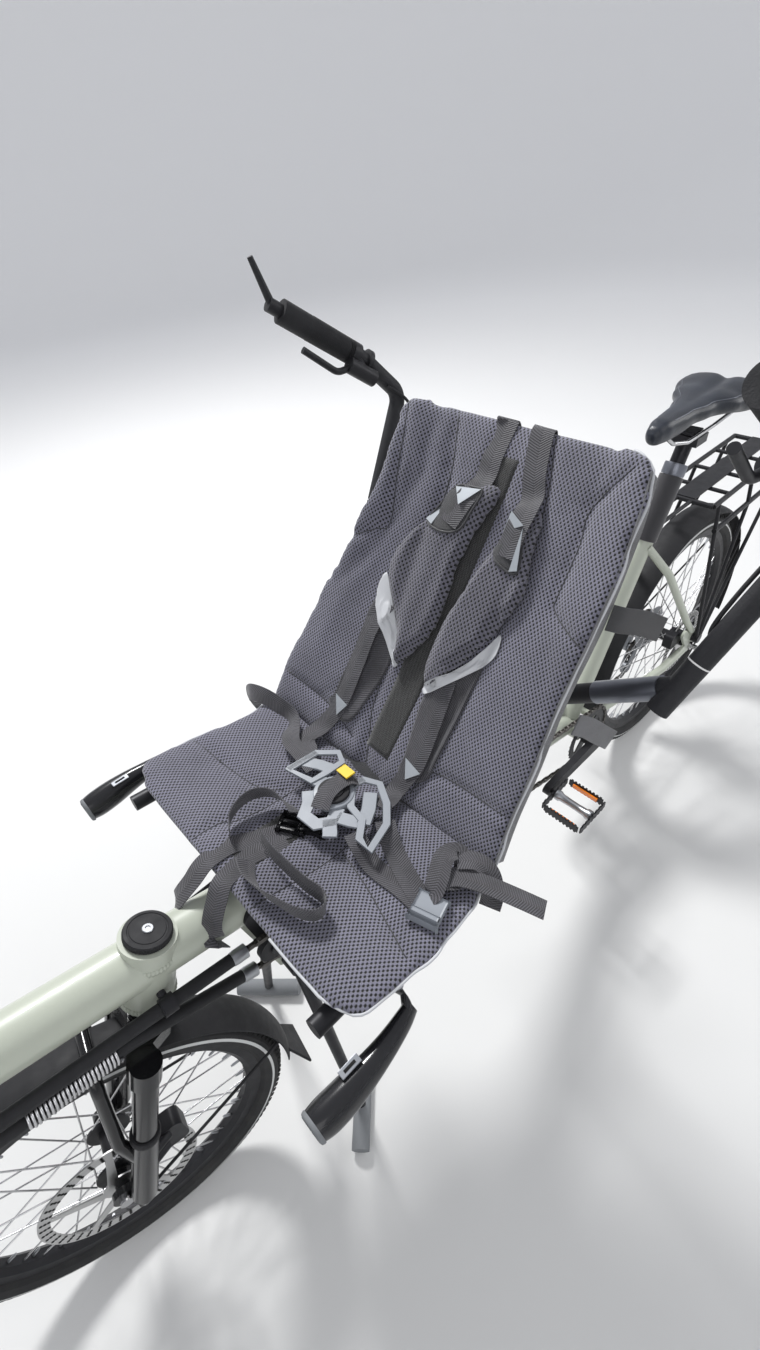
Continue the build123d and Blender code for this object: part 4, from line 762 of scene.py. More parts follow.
class TANDEM_OT_seat_cover(bpy.types.Operator):
    """Sew the stoker's mesh seat: back, pan, see-through strip, stitching and silver piping"""
    bl_idname = "tandem.seat_cover"
    bl_label = "Seat cover"

    def execute(self, context):
        cap = context.scene.tandem.fill_cap
        back_end, pan_end = BACK_LEN * 1000, PAN_LEN * 1000 + 6
        faces = (
            ("seat_back", BACK, BACK_HALF, BACK_SEAMS, -15.0, back_end, (4, 22), (60, 48), "seat_back_pad"),
            ("seat_pan", PAN, PAN_HALF, PAN_SEAMS, 0.0, pan_end, (34, 4), (36, 48), "seat_pan_pad"),
        )
        for name, side, halves, seams, start, end, corners, grid, node in faces:
            obj, edge = cover(name + "_cover", side, halves, start, end, 16, *grid, *corners)

            def pressed(s, y):
                strip = 1 - smooth_step(STRIP_HALF - 4, STRIP_HALF + 3, abs(y + 4))
                return seam_press(seam_distance((s, y), seams), 5.0, 5.2) - 3.5 * strip

            puff(obj, side, cap, COVER_VOXEL,
                 lambda s, y: seam_distance((s, y), seams) < 6 or near_edge(s, y, halves, start, end), pressed)
            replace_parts(obj, node)
            threads = []
            for k, line in enumerate(seams):
                path = curve_points([Vector((a, b, 0)) for a, b in line], 7)
                path = [side.top(p.x, p.y, 0.1) for p in path
                        if start + 3 < p.x < end - 3 and abs(p.y) < half_at(halves, p.x, p.y) - 5]
                threads.append(tube_piece("%s_thread_%d" % (name, k), path, 0.0007, "binding", sides=6))
            join(name + "_stitching", threads)
            self.piping(name, side, edge)
        self.strip("seat_back_net", BACK, 24, 440)
        self.strip("seat_pan_net", PAN, 30, 120)
        self.walls()
        return {"FINISHED"}

    def piping(self, name, side, edge):
        """Silver piping where the cover has it."""
        if name == "seat_back":
            runs = [[e for e in edge if e[1] > 150 and e[0] > -10]]
        else:
            runs = [[e for e in edge if (e[0] < 40 and e[1] > 96) or (e[1] > 150 and e[0] < 235)],
                    [e for e in edge if e[1] < -150 and 60 < e[0] < 240]]
        pipes = []
        for k, run in enumerate(runs):
            path = []
            for _, _, p in run:
                near, normal = side.trees[0].find_nearest(p)[:2]
                path.append(near + normal * 0.0011)
            path = path[:1] + [(a + 2 * b + c) / 4 for a, b, c in zip(path, path[1:], path[2:])] + path[-1:]
            pipes.append(tube_piece("%s_piping_%d" % (name, k), path, 0.0017, "piping", sides=10))
        join(name + "_piping", pipes)

    def strip(self, name, side, first, last):
        """Open net let into the middle of a face."""
        rows, cols = 40, 6
        verts, uvs = [], []
        for low in (0.0, -0.6):
            for i in range(rows + 1):
                s = first + (last - first) * i / rows
                for k in range(cols + 1):
                    y = -4 + (2 * k / cols - 1) * (STRIP_HALF - 3)
                    verts.append(side.top(s, y, 0.5 + low))
                    uvs.append((y / 1000, s / 1000))
        faces, _ = sheet_faces(rows, cols)
        outward(add_object(name, verts, faces, "net", uvs=uvs))

    def walls(self):
        """Plain cloth that closes the crease and wraps the back's left rail."""
        mid = (BACK_UP + PAN_UP).normalized()
        spots = [CREASE + LEFT * (y / 1000) + mid * -0.012 for y in (-205, -100, 0, 100, 205)]
        strap("crease_cloth", spots, [mid] * 5, 0.050, 0.004, "binding")
        path = [back_at(s, half_at(BACK_HALF, s, 1) - 3.5, -15) for s in (4, 60, 123, 209, 305, 403, 462)]
        strap("side_wall", path, [LEFT] * 7, 0.022, 0.0015, "wall_cloth")


# Harness, as measured on the seat's faces in mm: place along the face, place to the left, lift

PADS = {
    "left": ((407, 7), (395, 16), (361, 11), (303, 4), (234, 8), (193, 0), (160, -18), (141, -35), (165, -45),
             (222, -80), (257, -101), (285, -102), (322, -88), (360, -67), (390, -52), (402, -24)),
    "right": ((395, 73), (380, 86), (345, 93), (306, 104), (280, 102), (247, 92), (193, 68), (143, 30), (147, 20),
              (167, 13), (226, 11), (283, 20), (316, 28), (345, 37), (375, 45), (392, 58)),
}
WINDOWS = {
    "left": ((389, -46), (394, -20), (392, -4), (366, -7), (341, -13), (331, -32), (331, -52), (338, -68), (362, -58)),
    "right": ((384, 50), (380, 66), (350, 76), (321, 86), (316, 74), (324, 52), (341, 41), (362, 44)),
}
WINDOW_FACETS = {
    "left": (((388, -44), (394, -6), (368, -26)), ((388, -49), (338, -71), (334, -56))),
    "right": (((382, 47), (371, 71), (357, 45)), ((368, 72), (321, 86), (317, 76))),
}
CORNERS = {
    "left": ((252, -103), (224, -107), (195, -90), (165, -62), (139, -38), (150, -32), (168, -45), (222, -80)),
    "right": ((245, 92), (221, 100), (198, 88), (165, 62), (131, 30), (140, 22), (160, 42), (205, 74)),
}
TAILS = {
    "left": ((214, -104), (140, -106), (65, -109), (44, -115), (31, -92), (33, -72), (46, -60), (92, -52),
             (140, -48), (180, -60)),
    "right": ((132, 30), (90, 34), (45, 43), (24, 44), (20, 62), (28, 80), (44, 88), (100, 88), (152, 88),
              (205, 86), (170, 60)),
}
TAIL_ENDS = {
    "left": ((63, -103), (58, -76), (36, -88)),
    "right": ((46, 48), (40, 78), (22, 62)),
}


def shape_piece(name, side, outline, thick, finish, lift, spacing=6.0):
    """Thin closed patch draped over what lies below it, from an outline of (s, y)."""
    line = [(p.x, p.y) for p in curve_points([(a, b, 0) for a, b in outline], 3, closed=True)]
    cs, cy = sum(p[0] for p in line) / len(line), sum(p[1] for p in line) / len(line)
    reach = max(math.hypot(p[0] - cs, p[1] - cy) for p in line)
    rings = max(2, int(reach / spacing))
    flat = [(cs + (p[0] - cs) * k / rings, cy + (p[1] - cy) * k / rings) for k in range(rings, 0, -1) for p in line]
    flat.append((cs, cy))
    n = len(line)
    heights = [side.top(s, y, lift) for s, y in flat]
    verts = [p + side.up * (thick / 1000) for p in heights] + heights
    for k in range(n):
        verts[k] = heights[k] + side.up * (thick * 0.6 / 1000)
    faces, base = [], len(flat)
    for r in range(rings - 1):
        for k in range(n):
            a, b = r * n + k, r * n + (k + 1) % n
            faces.append((a, b, b + n, a + n))
            faces.append((base + a, base + a + n, base + b + n, base + b))
    last = (rings - 1) * n
    for k in range(n):
        m = (k + 1) % n
        faces.append((last + k, last + m, len(flat) - 1))
        faces.append((base + last + k, base + len(flat) - 1, base + last + m))
        faces.append((k, base + k, base + m, m))
    uvs = [(y / 1000, s / 1000) for s, y in flat] * 2
    return outward(add_object(name, verts, faces, finish, uvs=uvs))


def flat_patch(name, side, corners, lift, finish):
    """Thin flat patch whose corners sit just over what lies below them."""
    top = [side.top(s, y, lift + 0.7) for s, y in corners]
    low = [p - side.up * 0.0009 for p in top]
    n = len(top)
    faces = [tuple(range(n)), tuple(reversed(range(n, 2 * n)))]
    faces += [(k, n + k, n + (k + 1) % n, (k + 1) % n) for k in range(n)]
    return outward(add_object(name, top + low, faces, finish, smooth=False))


WEB_THICK = 1.5
WEB_CLEARANCE = 0.8


def strap_on(name, spots, width):
    """Webbing over the seat, by spots of (face, s, y, lift, lean).

    The face is b for the back or p for the pan. Without a lift the webbing lies on what is below it, and
    without a lean it faces straight out.
    """
    points, normals = [], []
    for face, s, y, *rest in spots:
        side = {"b": BACK, "p": PAN}[face]
        lean = rest[1] if len(rest) > 1 else (0, 0, 1)
        if rest and rest[0] is not None:
            points.append(side.flat(s, y, rest[0]))
        else:
            points.append(side.top(s, y, WEB_CLEARANCE + WEB_THICK / 2))
        normals.append(side.along * lean[0] + LEFT * lean[1] + side.up * lean[2])
    return strap(name, points, normals, width / 1000, WEB_THICK / 1000, "strap", 8)


def bar_plate(name, points, width, lift, closed=False):
    """Flat bar of plastic along a line on the pan, in mm."""
    path = [PAN.flat(s, y, lift) for s, y in points]
    if closed:
        path = path + path[:2]
    return webbing_piece(name, path, [PAN_UP] * len(path), width / 1000, 0.0035, "grey_plastic")


def boss(name, centre, radius, height, finish):
    """Short round boss on the pan with softened edges, in mm."""
    soft = 1.2
    profile = ((radius, 0.0), (radius, height - soft), (radius - soft * 0.3, height - soft * 0.3),
               (radius - soft, height))
    return lathe(name, centre, PAN_UP, profile, finish, sides=40, sharp=50)


def block_piece(name, centre, axes, size, finish, soft=0.0015, body="frame"):
    """Box with softened edges, on three given axes."""
    bm = bmesh.new()
    bmesh.ops.create_cube(bm, size=1.0)
    for v in bm.verts:
        c = v.co
        v.co = centre + axes[0] * (c.x * size[0]) + axes[1] * (c.y * size[1]) + axes[2] * (c.z * size[2])
    bmesh.ops.bevel(bm, geom=list(bm.edges), offset=soft, segments=2, affect="EDGES", profile=0.6)
    mesh = bpy.data.meshes.new(name)
    bm.to_mesh(mesh)
    bm.free()
    mesh.materials.append(MATS[finish].m)
    obj = bpy.data.objects.new(name, mesh)
    bpy.context.scene.collection.objects.link(obj)
    shade(obj, False)
    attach(obj, body)
    return outward(obj)


# Webbing, by the spots it passes: see strap_on
WEB_WIDE = 27
TAIL_WEBS = {
    "left": (("b", 215, -84), ("b", 177, -91), ("b", 120, -90), ("b", 65, -89), ("b", 36, -95), ("b", 8, -104, 3),
             ("p", 214, -104, 4), ("p", 200, -82, 8), ("p", 188, -66, 12)),
    "right": (("b", 175, 50), ("b", 154, 54), ("b", 100, 60), ("b", 50, 65), ("b", 22, 60), ("b", 4, 57, 4),
              ("p", 226, 60, 5), ("p", 212, 64, 9), ("p", 200, 66, 12)),
}
SHOULDER_WIDE = 29
SHOULDER_WEBS = {
    "left": (("b", 440, -20, -30, (0, 0, -1)), ("b", 474, -19, -25, (0.5, 0, -1)), ("b", 483, -19, -12, (1, 0, 0)),
             ("b", 472, -18, None, (0.4, 0, 1)), ("b", 436, -18), ("b", 414, -17), ("b", 399, -17), ("b", 380, -22),
             ("b", 362, -27), ("b", 342, -32)),
    "right": (("b", 440, 30, -30, (0, 0, -1)), ("b", 474, 32, -25, (0.5, 0, -1)), ("b", 483, 34, -12, (1, 0, 0)),
              ("b", 472, 36, None, (0.4, 0, 1)), ("b", 430, 47), ("b", 406, 56), ("b", 389, 61), ("b", 368, 62),
              ("b", 350, 63), ("b", 330, 63)),
}
LOOSE_WEBS = (
    ("lap_web_left", 25, (("p", 180, -40, 14), ("p", 184, -70, 15), ("p", 192, -110, 12), ("b", -4, -150, 17),
                          ("b", 2, -185, 24), ("b", 2, -214, 34), ("b", -6, -240, 36), ("b", -22, -252, 18),
                          ("b", -36, -246, -8), ("b", -40, -226, -30))),
    ("lap_web_right_low", 25, (("p", 150, 74, 12), ("p", 145, 92, 9), ("p", 143, 117), ("p", 145, 165),
                               ("p", 143, 200))),
    ("lap_web_right_high", 25, (("p", 190, 88, 12), ("p", 180, 104, 9), ("p", 171, 128), ("p", 157, 164),
                                ("p", 146, 198))),
    ("lap_web_loop", 24, (("p", 150, 194, 9), ("p", 158, 197, 16), ("p", 172, 192, 24), ("p", 196, 180, 27),
                          ("p", 214, 184, 24), ("p", 210, 200, 17), ("p", 190, 204, 15), ("p", 176, 196, 20))),
    ("lap_web_tail", 24, (("p", 168, 186, 15), ("p", 178, 194, 19), ("p", 193, 206, 19), ("p", 209, 231, 15),
                          ("p", 225, 264, 9), ("p", 238, 292, 3))),
    ("lap_web_down", 25, (("p", 206, 190, 22), ("p", 222, 206, 20), ("p", 226, 222, 12), ("p", 218, 236, -2),
                          ("p", 210, 240, -22))),
    ("crotch_web_left", 26, (("p", 106, 2), ("p", 92, -4), ("p", 64, -14), ("p", 37, -25), ("p", 12, -27),
                             ("p", -4, -25, -3), ("p", -22, -22, -12), ("p", -44, -24, -30), ("p", -50, -28, -52))),
    ("crotch_web_right", 26, (("p", 92, 10), ("p", 72, 8), ("p", 44, 4), ("p", 14, 8), ("p", -2, 14, -2),
                              ("p", -16, 22, -14), ("p", -30, 29, -34), ("p", -34, 32, -60), ("p", -26, 30, -78))),
    ("standing_web", 26, (("p", 64, 4, 15, (-1, 0.2, 0.1)), ("p", 61, 30, 15, (-1, 0, 0.1)),
                          ("p", 62, 62, 15, (-1, 0, 0.1)), ("p", 64, 92, 15, (-1, 0, 0.1)),
                          ("p", 68, 114, 15, (-0.8, -0.5, 0.1)), ("p", 62, 128, 15, (0, -1, 0.1)),
                          ("p", 48, 128, 15, (0.6, -0.8, 0.1)), ("p", 36, 112, 15, (1, -0.3, 0.1)),
                          ("p", 28, 86, 14, (1, -0.3, 0.2)), ("p", 22, 60, 13, (1, -0.2, 0.3)),
                          ("p", 24, 34, 11, (1, 0, 0.6)), ("p", 34, 14, 9, (1, 0.2, 1)))),
    ("arched_web", 24, (("p", 40, -30, 12, (-0.3, -1, 0.2)), ("p", 52, -48, 15, (-0.5, -1, 0.2)),
                        ("p", 72, -58, 17, (0, -1, 0.2)), ("p", 94, -58, 18, (0.5, -1, 0.2)),
                        ("p", 112, -44, 17, (1, -0.6, 0.3)), ("p", 118, -22, 14, (1, 0, 0.5)),
                        ("p", 118, 0, 12, (1, 0, 1)))),
)


# Centre buckle, on the pan
HUB_RINGS = (
    ((153, -62), (200, -60), (222, -39), (214, -22), (186, -22), (163, -24)),
    ((196, 20), (214, 22), (224, 42), (208, 72), (186, 95), (145, 109), (147, 88), (168, 70), (172, 44)),
)
HUB_ARMS = (
    ((168, -24), (182, 6), (190, 24)),
    ((178, -60), (190, -40), (196, -24)),
    ((206, 44), (186, 62), (166, 74)),
    ((150, -14), (138, 2), (122, 12), (124, 34), (140, 44), (160, 34)),
    ((150, 44), (158, 60), (166, 72)),
    ((140, 40), (128, 56), (124, 60)),
)
HUB_WEB = (("p", 140, 22, 20), ("p", 156, 14, 26), ("p", 178, 10, 27), ("p", 196, 12, 26), ("p", 206, 16, 20))
BUCKLE_TURN = -0.55


class TANDEM_OT_harness(bpy.types.Operator):
    """Lay the five-point harness on the seat: pads, webbing, hub and buckles"""
    bl_idname = "tandem.harness"
    bl_label = "Harness"

    def execute(self, context):
        soft, pads = [], []
        for hand in HANDS:
            soft.append(shape_piece("harness_tail_" + hand, BACK, TAILS[hand], 3.5, "strap", 1.0))
            BACK.lay(soft[-1])
        for hand in HANDS:
            BACK.lay(strap_on("tail_web_" + hand, TAIL_WEBS[hand], WEB_WIDE))
        for hand in HANDS:
            pad = shape_piece("harness_pad_" + hand, BACK, PADS[hand], 9.0, "pad_mesh", 3.0)
            puff(pad, BACK, context.scene.tandem.pad_cap, PAD_VOXEL)
            pads.append(pad)
        for hand in HANDS:
            soft.append(shape_piece("window_" + hand, BACK, WINDOWS[hand], 0.8, "binding", 0.6))
            line = curve_points([BACK.top(s, y, 1.2) for s, y in WINDOWS[hand]], 4, closed=True)
            soft.append(tube_piece("window_rim_" + hand, line, 0.0016, "binding", sides=8, closed=True))
        for hand in HANDS:
            BACK.lay(strap_on("shoulder_web_" + hand, SHOULDER_WEBS[hand], SHOULDER_WIDE))
        for name, width, spots in LOOSE_WEBS:
            strap_on(name, spots, width)
        for hand in HANDS:
            for k, facet in enumerate(WINDOW_FACETS[hand]):
                soft.append(flat_patch("window_facet_%s_%d" % (hand, k), BACK, facet, 3.0, "reflect"))
            soft.append(shape_piece("pad_corner_" + hand, BACK, CORNERS[hand], 1.0, "white_patch", 2.2, 2.5))
            soft.append(flat_patch("tail_end_" + hand, BACK, TAIL_ENDS[hand], 1.2, "reflect"))
        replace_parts(pads[0], "harness_pads")
        self.hub()
        return {"FINISHED"}

    def hub(self):
        """Silver-grey centre buckle with its round black catch, and the small buckles round it."""
        pieces = [bar_plate("hub_ring_%d" % k, line, 9, 16, closed=True) for k, line in enumerate(HUB_RINGS)]
        pieces += [bar_plate("hub_arm_%d" % k, line, 17, 14) for k, line in enumerate(HUB_ARMS)]
        mid = PAN.flat(171, 12, 10)
        pieces.append(boss("hub_body", mid, 27, 9, "grey_plastic"))
        hub = join("harness_hub", pieces)
        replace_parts(hub, "harness_buckle")
        dark = [boss("hub_catch", mid + PAN_UP * 0.009, 21, 4, "matt"),
                boss("hub_button", mid + PAN_UP * 0.013, 14, 2, "gloss_plastic"),
                boss("hub_button_ring", mid + PAN_UP * 0.0132, 9, 2.8, "matt")]
        along = (PAN_DIR * math.cos(BUCKLE_TURN) + LEFT * math.sin(BUCKLE_TURN)).normalized()
        axes = (along, PAN_UP.cross(along), PAN_UP)
        for name, s, y in (("crotch_buckle", 112, 0), ("crotch_buckle_back", 128, 20)):
            spot = PAN.top(s, y, 5.0)
            dark += [block_piece("%s_bar_%d" % (name, k), spot + axes[0] * (0.011 * k), axes, (0.005, 0.032, 0.006),
                                 "gloss_plastic") for k in (-1, 0, 1)]
            dark += [block_piece("%s_side_%d" % (name, k), spot + axes[1] * (0.016 * k), axes, (0.030, 0.004, 0.007),
                                 "gloss_plastic") for k in (-1, 1)]
        join("harness_catches", dark)
        strap_on("hub_web", HUB_WEB, 24)
        tab = block_piece("hub_tab", PAN.flat(198, 5, 31), (PAN_DIR, LEFT, PAN_UP), (0.014, 0.020, 0.0016), "yellow",
                          0.0005)
        along = (PAN_DIR * 0.9 - LEFT * 0.3).normalized()
        axes = (along, PAN_UP.cross(along), PAN_UP)
        spot = PAN.top(142, 206, 7.0)
        buckle = join("lap_buckle", [
            block_piece("lap_buckle_plate", spot, axes, (0.034, 0.034, 0.006), "grey_plastic", 0.0025),
            block_piece("lap_buckle_bar", spot + PAN_UP * 0.005 - along * 0.010, axes, (0.006, 0.032, 0.006),
                        "grey_plastic")])


# Repeated parts, placed by Geometry Nodes


def node_group(name, inputs):
    """Empty Geometry Nodes group with named inputs, its input node and its output node."""
    group = bpy.data.node_groups.new(name, "GeometryNodeTree")
    group.is_modifier = True
    for label, kind in inputs:
        group.interface.new_socket(name=label, in_out="INPUT", socket_type="NodeSocket" + kind)
    group.interface.new_socket(name="Geometry", in_out="OUTPUT", socket_type="NodeSocketGeometry")
    return group, group.nodes.new("NodeGroupInput"), group.nodes.new("NodeGroupOutput")


def connect(group, links):
    """Link nodes, each link as (node, output, node, input)."""
    for source, output, target, entry in links:
        group.links.new(source.outputs[output], target.inputs[entry])


def path_group():
    """Copies of a part set evenly along a path, turned to follow it."""
    name = "Parts along path"
    if name in bpy.data.node_groups:
        return bpy.data.node_groups[name]
    group, inp, out = node_group(name, (("Geometry", "Geometry"), ("Part", "Object"), ("Count", "Int"),
                                        ("Size", "Vector"), ("Finish", "Material")))
    line = group.nodes.new("GeometryNodeMeshToCurve")
    even = group.nodes.new("GeometryNodeResampleCurve")
    part = group.nodes.new("GeometryNodeObjectInfo")
    tangent = group.nodes.new("GeometryNodeInputTangent")
    lean = group.nodes.new("GeometryNodeInputNamedAttribute")
    lean.data_type = "FLOAT_VECTOR"
    lean.inputs["Name"].default_value = "lean"
    turn = group.nodes.new("FunctionNodeAxesToRotation")
    turn.primary_axis, turn.secondary_axis = "X", "Z"
    put = group.nodes.new("GeometryNodeInstanceOnPoints")
    real = group.nodes.new("GeometryNodeRealizeInstances")
    paint = group.nodes.new("GeometryNodeSetMaterial")
    connect(group, (
        (inp, "Geometry", line, "Mesh"), (line, "Curve", even, "Curve"), (inp, "Count", even, "Count"),
        (even, "Curve", put, "Points"), (inp, "Part", part, "Object"), (part, "Geometry", put, "Instance"),
        (tangent, "Tangent", turn, "Primary Axis"), (lean, "Attribute", turn, "Secondary Axis"),
        (turn, "Rotation", put, "Rotation"), (inp, "Size", put, "Scale"), (put, "Instances", real, "Geometry"),
        (real, "Geometry", paint, "Geometry"), (inp, "Finish", paint, "Material"),
        (paint, "Geometry", out, "Geometry")))
    return group


def coil_group():
    """Wire wound into a straight coil along its own Z."""
    group, inp, out = node_group("Coil", (("Geometry", "Geometry"), ("Turns", "Int"), ("Radius", "Float"),
                                          ("Length", "Float"), ("Wire", "Float"), ("Finish", "Material")))
    spiral = group.nodes.new("GeometryNodeCurveSpiral")
    spiral.inputs["Resolution"].default_value = 20
    ring = group.nodes.new("GeometryNodeCurvePrimitiveCircle")
    ring.inputs["Resolution"].default_value = 8
    wire = group.nodes.new("GeometryNodeCurveToMesh")
    wire.inputs["Fill Caps"].default_value = True
    real = group.nodes.new("GeometryNodeRealizeInstances")
    paint = group.nodes.new("GeometryNodeSetMaterial")
    connect(group, (
        (inp, "Turns", spiral, "Rotations"), (inp, "Radius", spiral, "Start Radius"),
        (inp, "Radius", spiral, "End Radius"), (inp, "Length", spiral, "Height"), (inp, "Wire", ring, "Radius"),
        (spiral, "Curve", wire, "Curve"), (ring, "Curve", wire, "Profile Curve"), (wire, "Mesh", real, "Geometry"),
        (real, "Geometry", paint, "Geometry"), (inp, "Finish", paint, "Material"),
        (paint, "Geometry", out, "Geometry")))
    return group


def run_group(obj, group, values):
    """Run a group on a piece with inputs set by name, and keep the plain mesh."""
    mod = obj.modifiers.new(group.name, "NODES")
    mod.node_group = group
    for item in group.interface.items_tree:
        if item.item_type == "SOCKET" and item.in_out == "INPUT" and item.name in values:
            mod[item.identifier] = values[item.name]
    settle(obj)


def repeat_along(name, path, leans, part, count, finish, body, closed=True, smooth=False):
    """Piece made of one part repeated along a path; part is (verts, faces) round its own origin, in metres."""
    n = len(path)
    mesh = bpy.data.meshes.new(name)
    mesh.from_pydata([tuple(p) for p in path], [(i, (i + 1) % n) for i in range(n if closed else n - 1)], [])
    attribute = mesh.attributes.new("lean", "FLOAT_VECTOR", "POINT")
    for i, v in enumerate(leans):
        attribute.data[i].vector = v
    mesh.materials.append(MATS[finish].m)
    obj = bpy.data.objects.new(name, mesh)
    unit_mesh = bpy.data.meshes.new(name + "_unit")
    unit_mesh.from_pydata([tuple(v) for v in part[0]], [], part[1])
    unit = bpy.data.objects.new(name + "_unit", unit_mesh)
    for o in (obj, unit):
        bpy.context.scene.collection.objects.link(o)
    run_group(obj, path_group(), {"Part": unit, "Count": count, "Size": (1, 1, 1), "Finish": MATS[finish].m})
    bpy.data.objects.remove(unit)
    shade(obj, smooth)
    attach(obj, body)
    return outward(obj)


def circle(centre, axis, radius, count=96):
    """Closed round path and its outward directions."""
    axis = Vector(axis).normalized()
    a = axis.orthogonal().normalized()
    b = axis.cross(a)
    out = [a * math.cos(2 * math.pi * k / count) + b * math.sin(2 * math.pi * k / count) for k in range(count)]
    return [centre + o * radius for o in out], out


def prism(outline, z0, z1):
    """Closed prism over a flat outline of (x, y)."""
    n = len(outline)
    verts = [(x, y, z0) for x, y in outline] + [(x, y, z1) for x, y in outline]
    faces = [tuple(reversed(range(n))), tuple(range(n, 2 * n))]
    return verts, faces + [(k, (k + 1) % n, n + (k + 1) % n, n + k) for k in range(n)]


def merged(parts):
    """Several (verts, faces) as one."""
    verts, faces = [], []
    for v, f in parts:
        base = len(verts)
        verts += list(v)
        faces += [tuple(base + i for i in face) for face in f]
    return verts, faces


def round_bar(x0, x1, radius, sides=8, axis=2, mid=(0.0, 0.0)):
    """Prism with a round section, along y for axis 1 and z for axis 2."""
    turns = [2 * math.pi * k / sides for k in range(sides)]
    outline = [(mid[0] + radius * math.cos(a), mid[1] + radius * math.sin(a)) for a in turns]
    verts, faces = prism(outline, x0, x1)
    return [(x, z, y) if axis == 1 else (x, y, z) for x, y, z in verts], faces


def stadium(length, height, steps=3):
    """Outline of a chain plate between two pins."""
    r = height / 2
    right = [(length / 2 + r * math.cos(a), r * math.sin(a)) for a in
             (math.pi * (k / steps - 0.5) for k in range(steps + 1))]
    return right + [(-x, -y) for x, y in right]


# Drive

ARC_STEP = 4.0


def touch(a, ra, b, rb, side, crossed=False):
    """Where a straight run touches two circles, on the same side or crossing between them."""
    dx, dz = b[0] - a[0], b[1] - a[1]
    reach = (ra + rb if crossed else ra - rb) / math.hypot(dx, dz)
    turn = math.atan2(dz, dx) + side * math.acos(reach)
    nx, nz = math.cos(turn), math.sin(turn)
    far = -rb if crossed else rb
    return (a[0] + ra * nx, a[1] + ra * nz), (b[0] + far * nx, b[1] + far * nz)


def arc_between(centre, first, last, way=1):
    """Points round a wheel from one touching point to the next, in mm."""
    r = math.hypot(first[0] - centre[0], first[1] - centre[1])
    a = math.atan2(first[1] - centre[1], first[0] - centre[0])
    b = math.atan2(last[1] - centre[1], last[0] - centre[0])
    swing = (way * (b - a)) % (2 * math.pi)
    n = max(2, int(swing * r / ARC_STEP))
    return [(centre[0] + r * math.cos(a + way * swing * k / n), centre[1] + r * math.sin(a + way * swing * k / n))
            for k in range(n + 1)]


def hub_mm(name):
    """Place of a joint in the hub's layout, in mm, seen from the side."""
    p = (Vector(joint(name)["pos_m"]) - SHIFT) * 1000
    return p.x, p.z


CHAIN_Y = 48.0
RIGHT_CHAIN_Y = 46.0
CHAIN_MID = 4.6
STOKER_RING_R = 62.0
DRIVE_RING_R = 78.0
COG_R = 34.0
JOCKEY_R = 17.0
IDLER = (-300.0, 509.0)
IDLER_R = 24.0
UPPER_MOUTH = (3.0, 606.0)
LOWER_BEND = (-118.0, 558.0)
LOWER_MOUTH = (18.0, 583.0)
COIL_FROM_X = -104.0
COIL_TO_X = -14.0


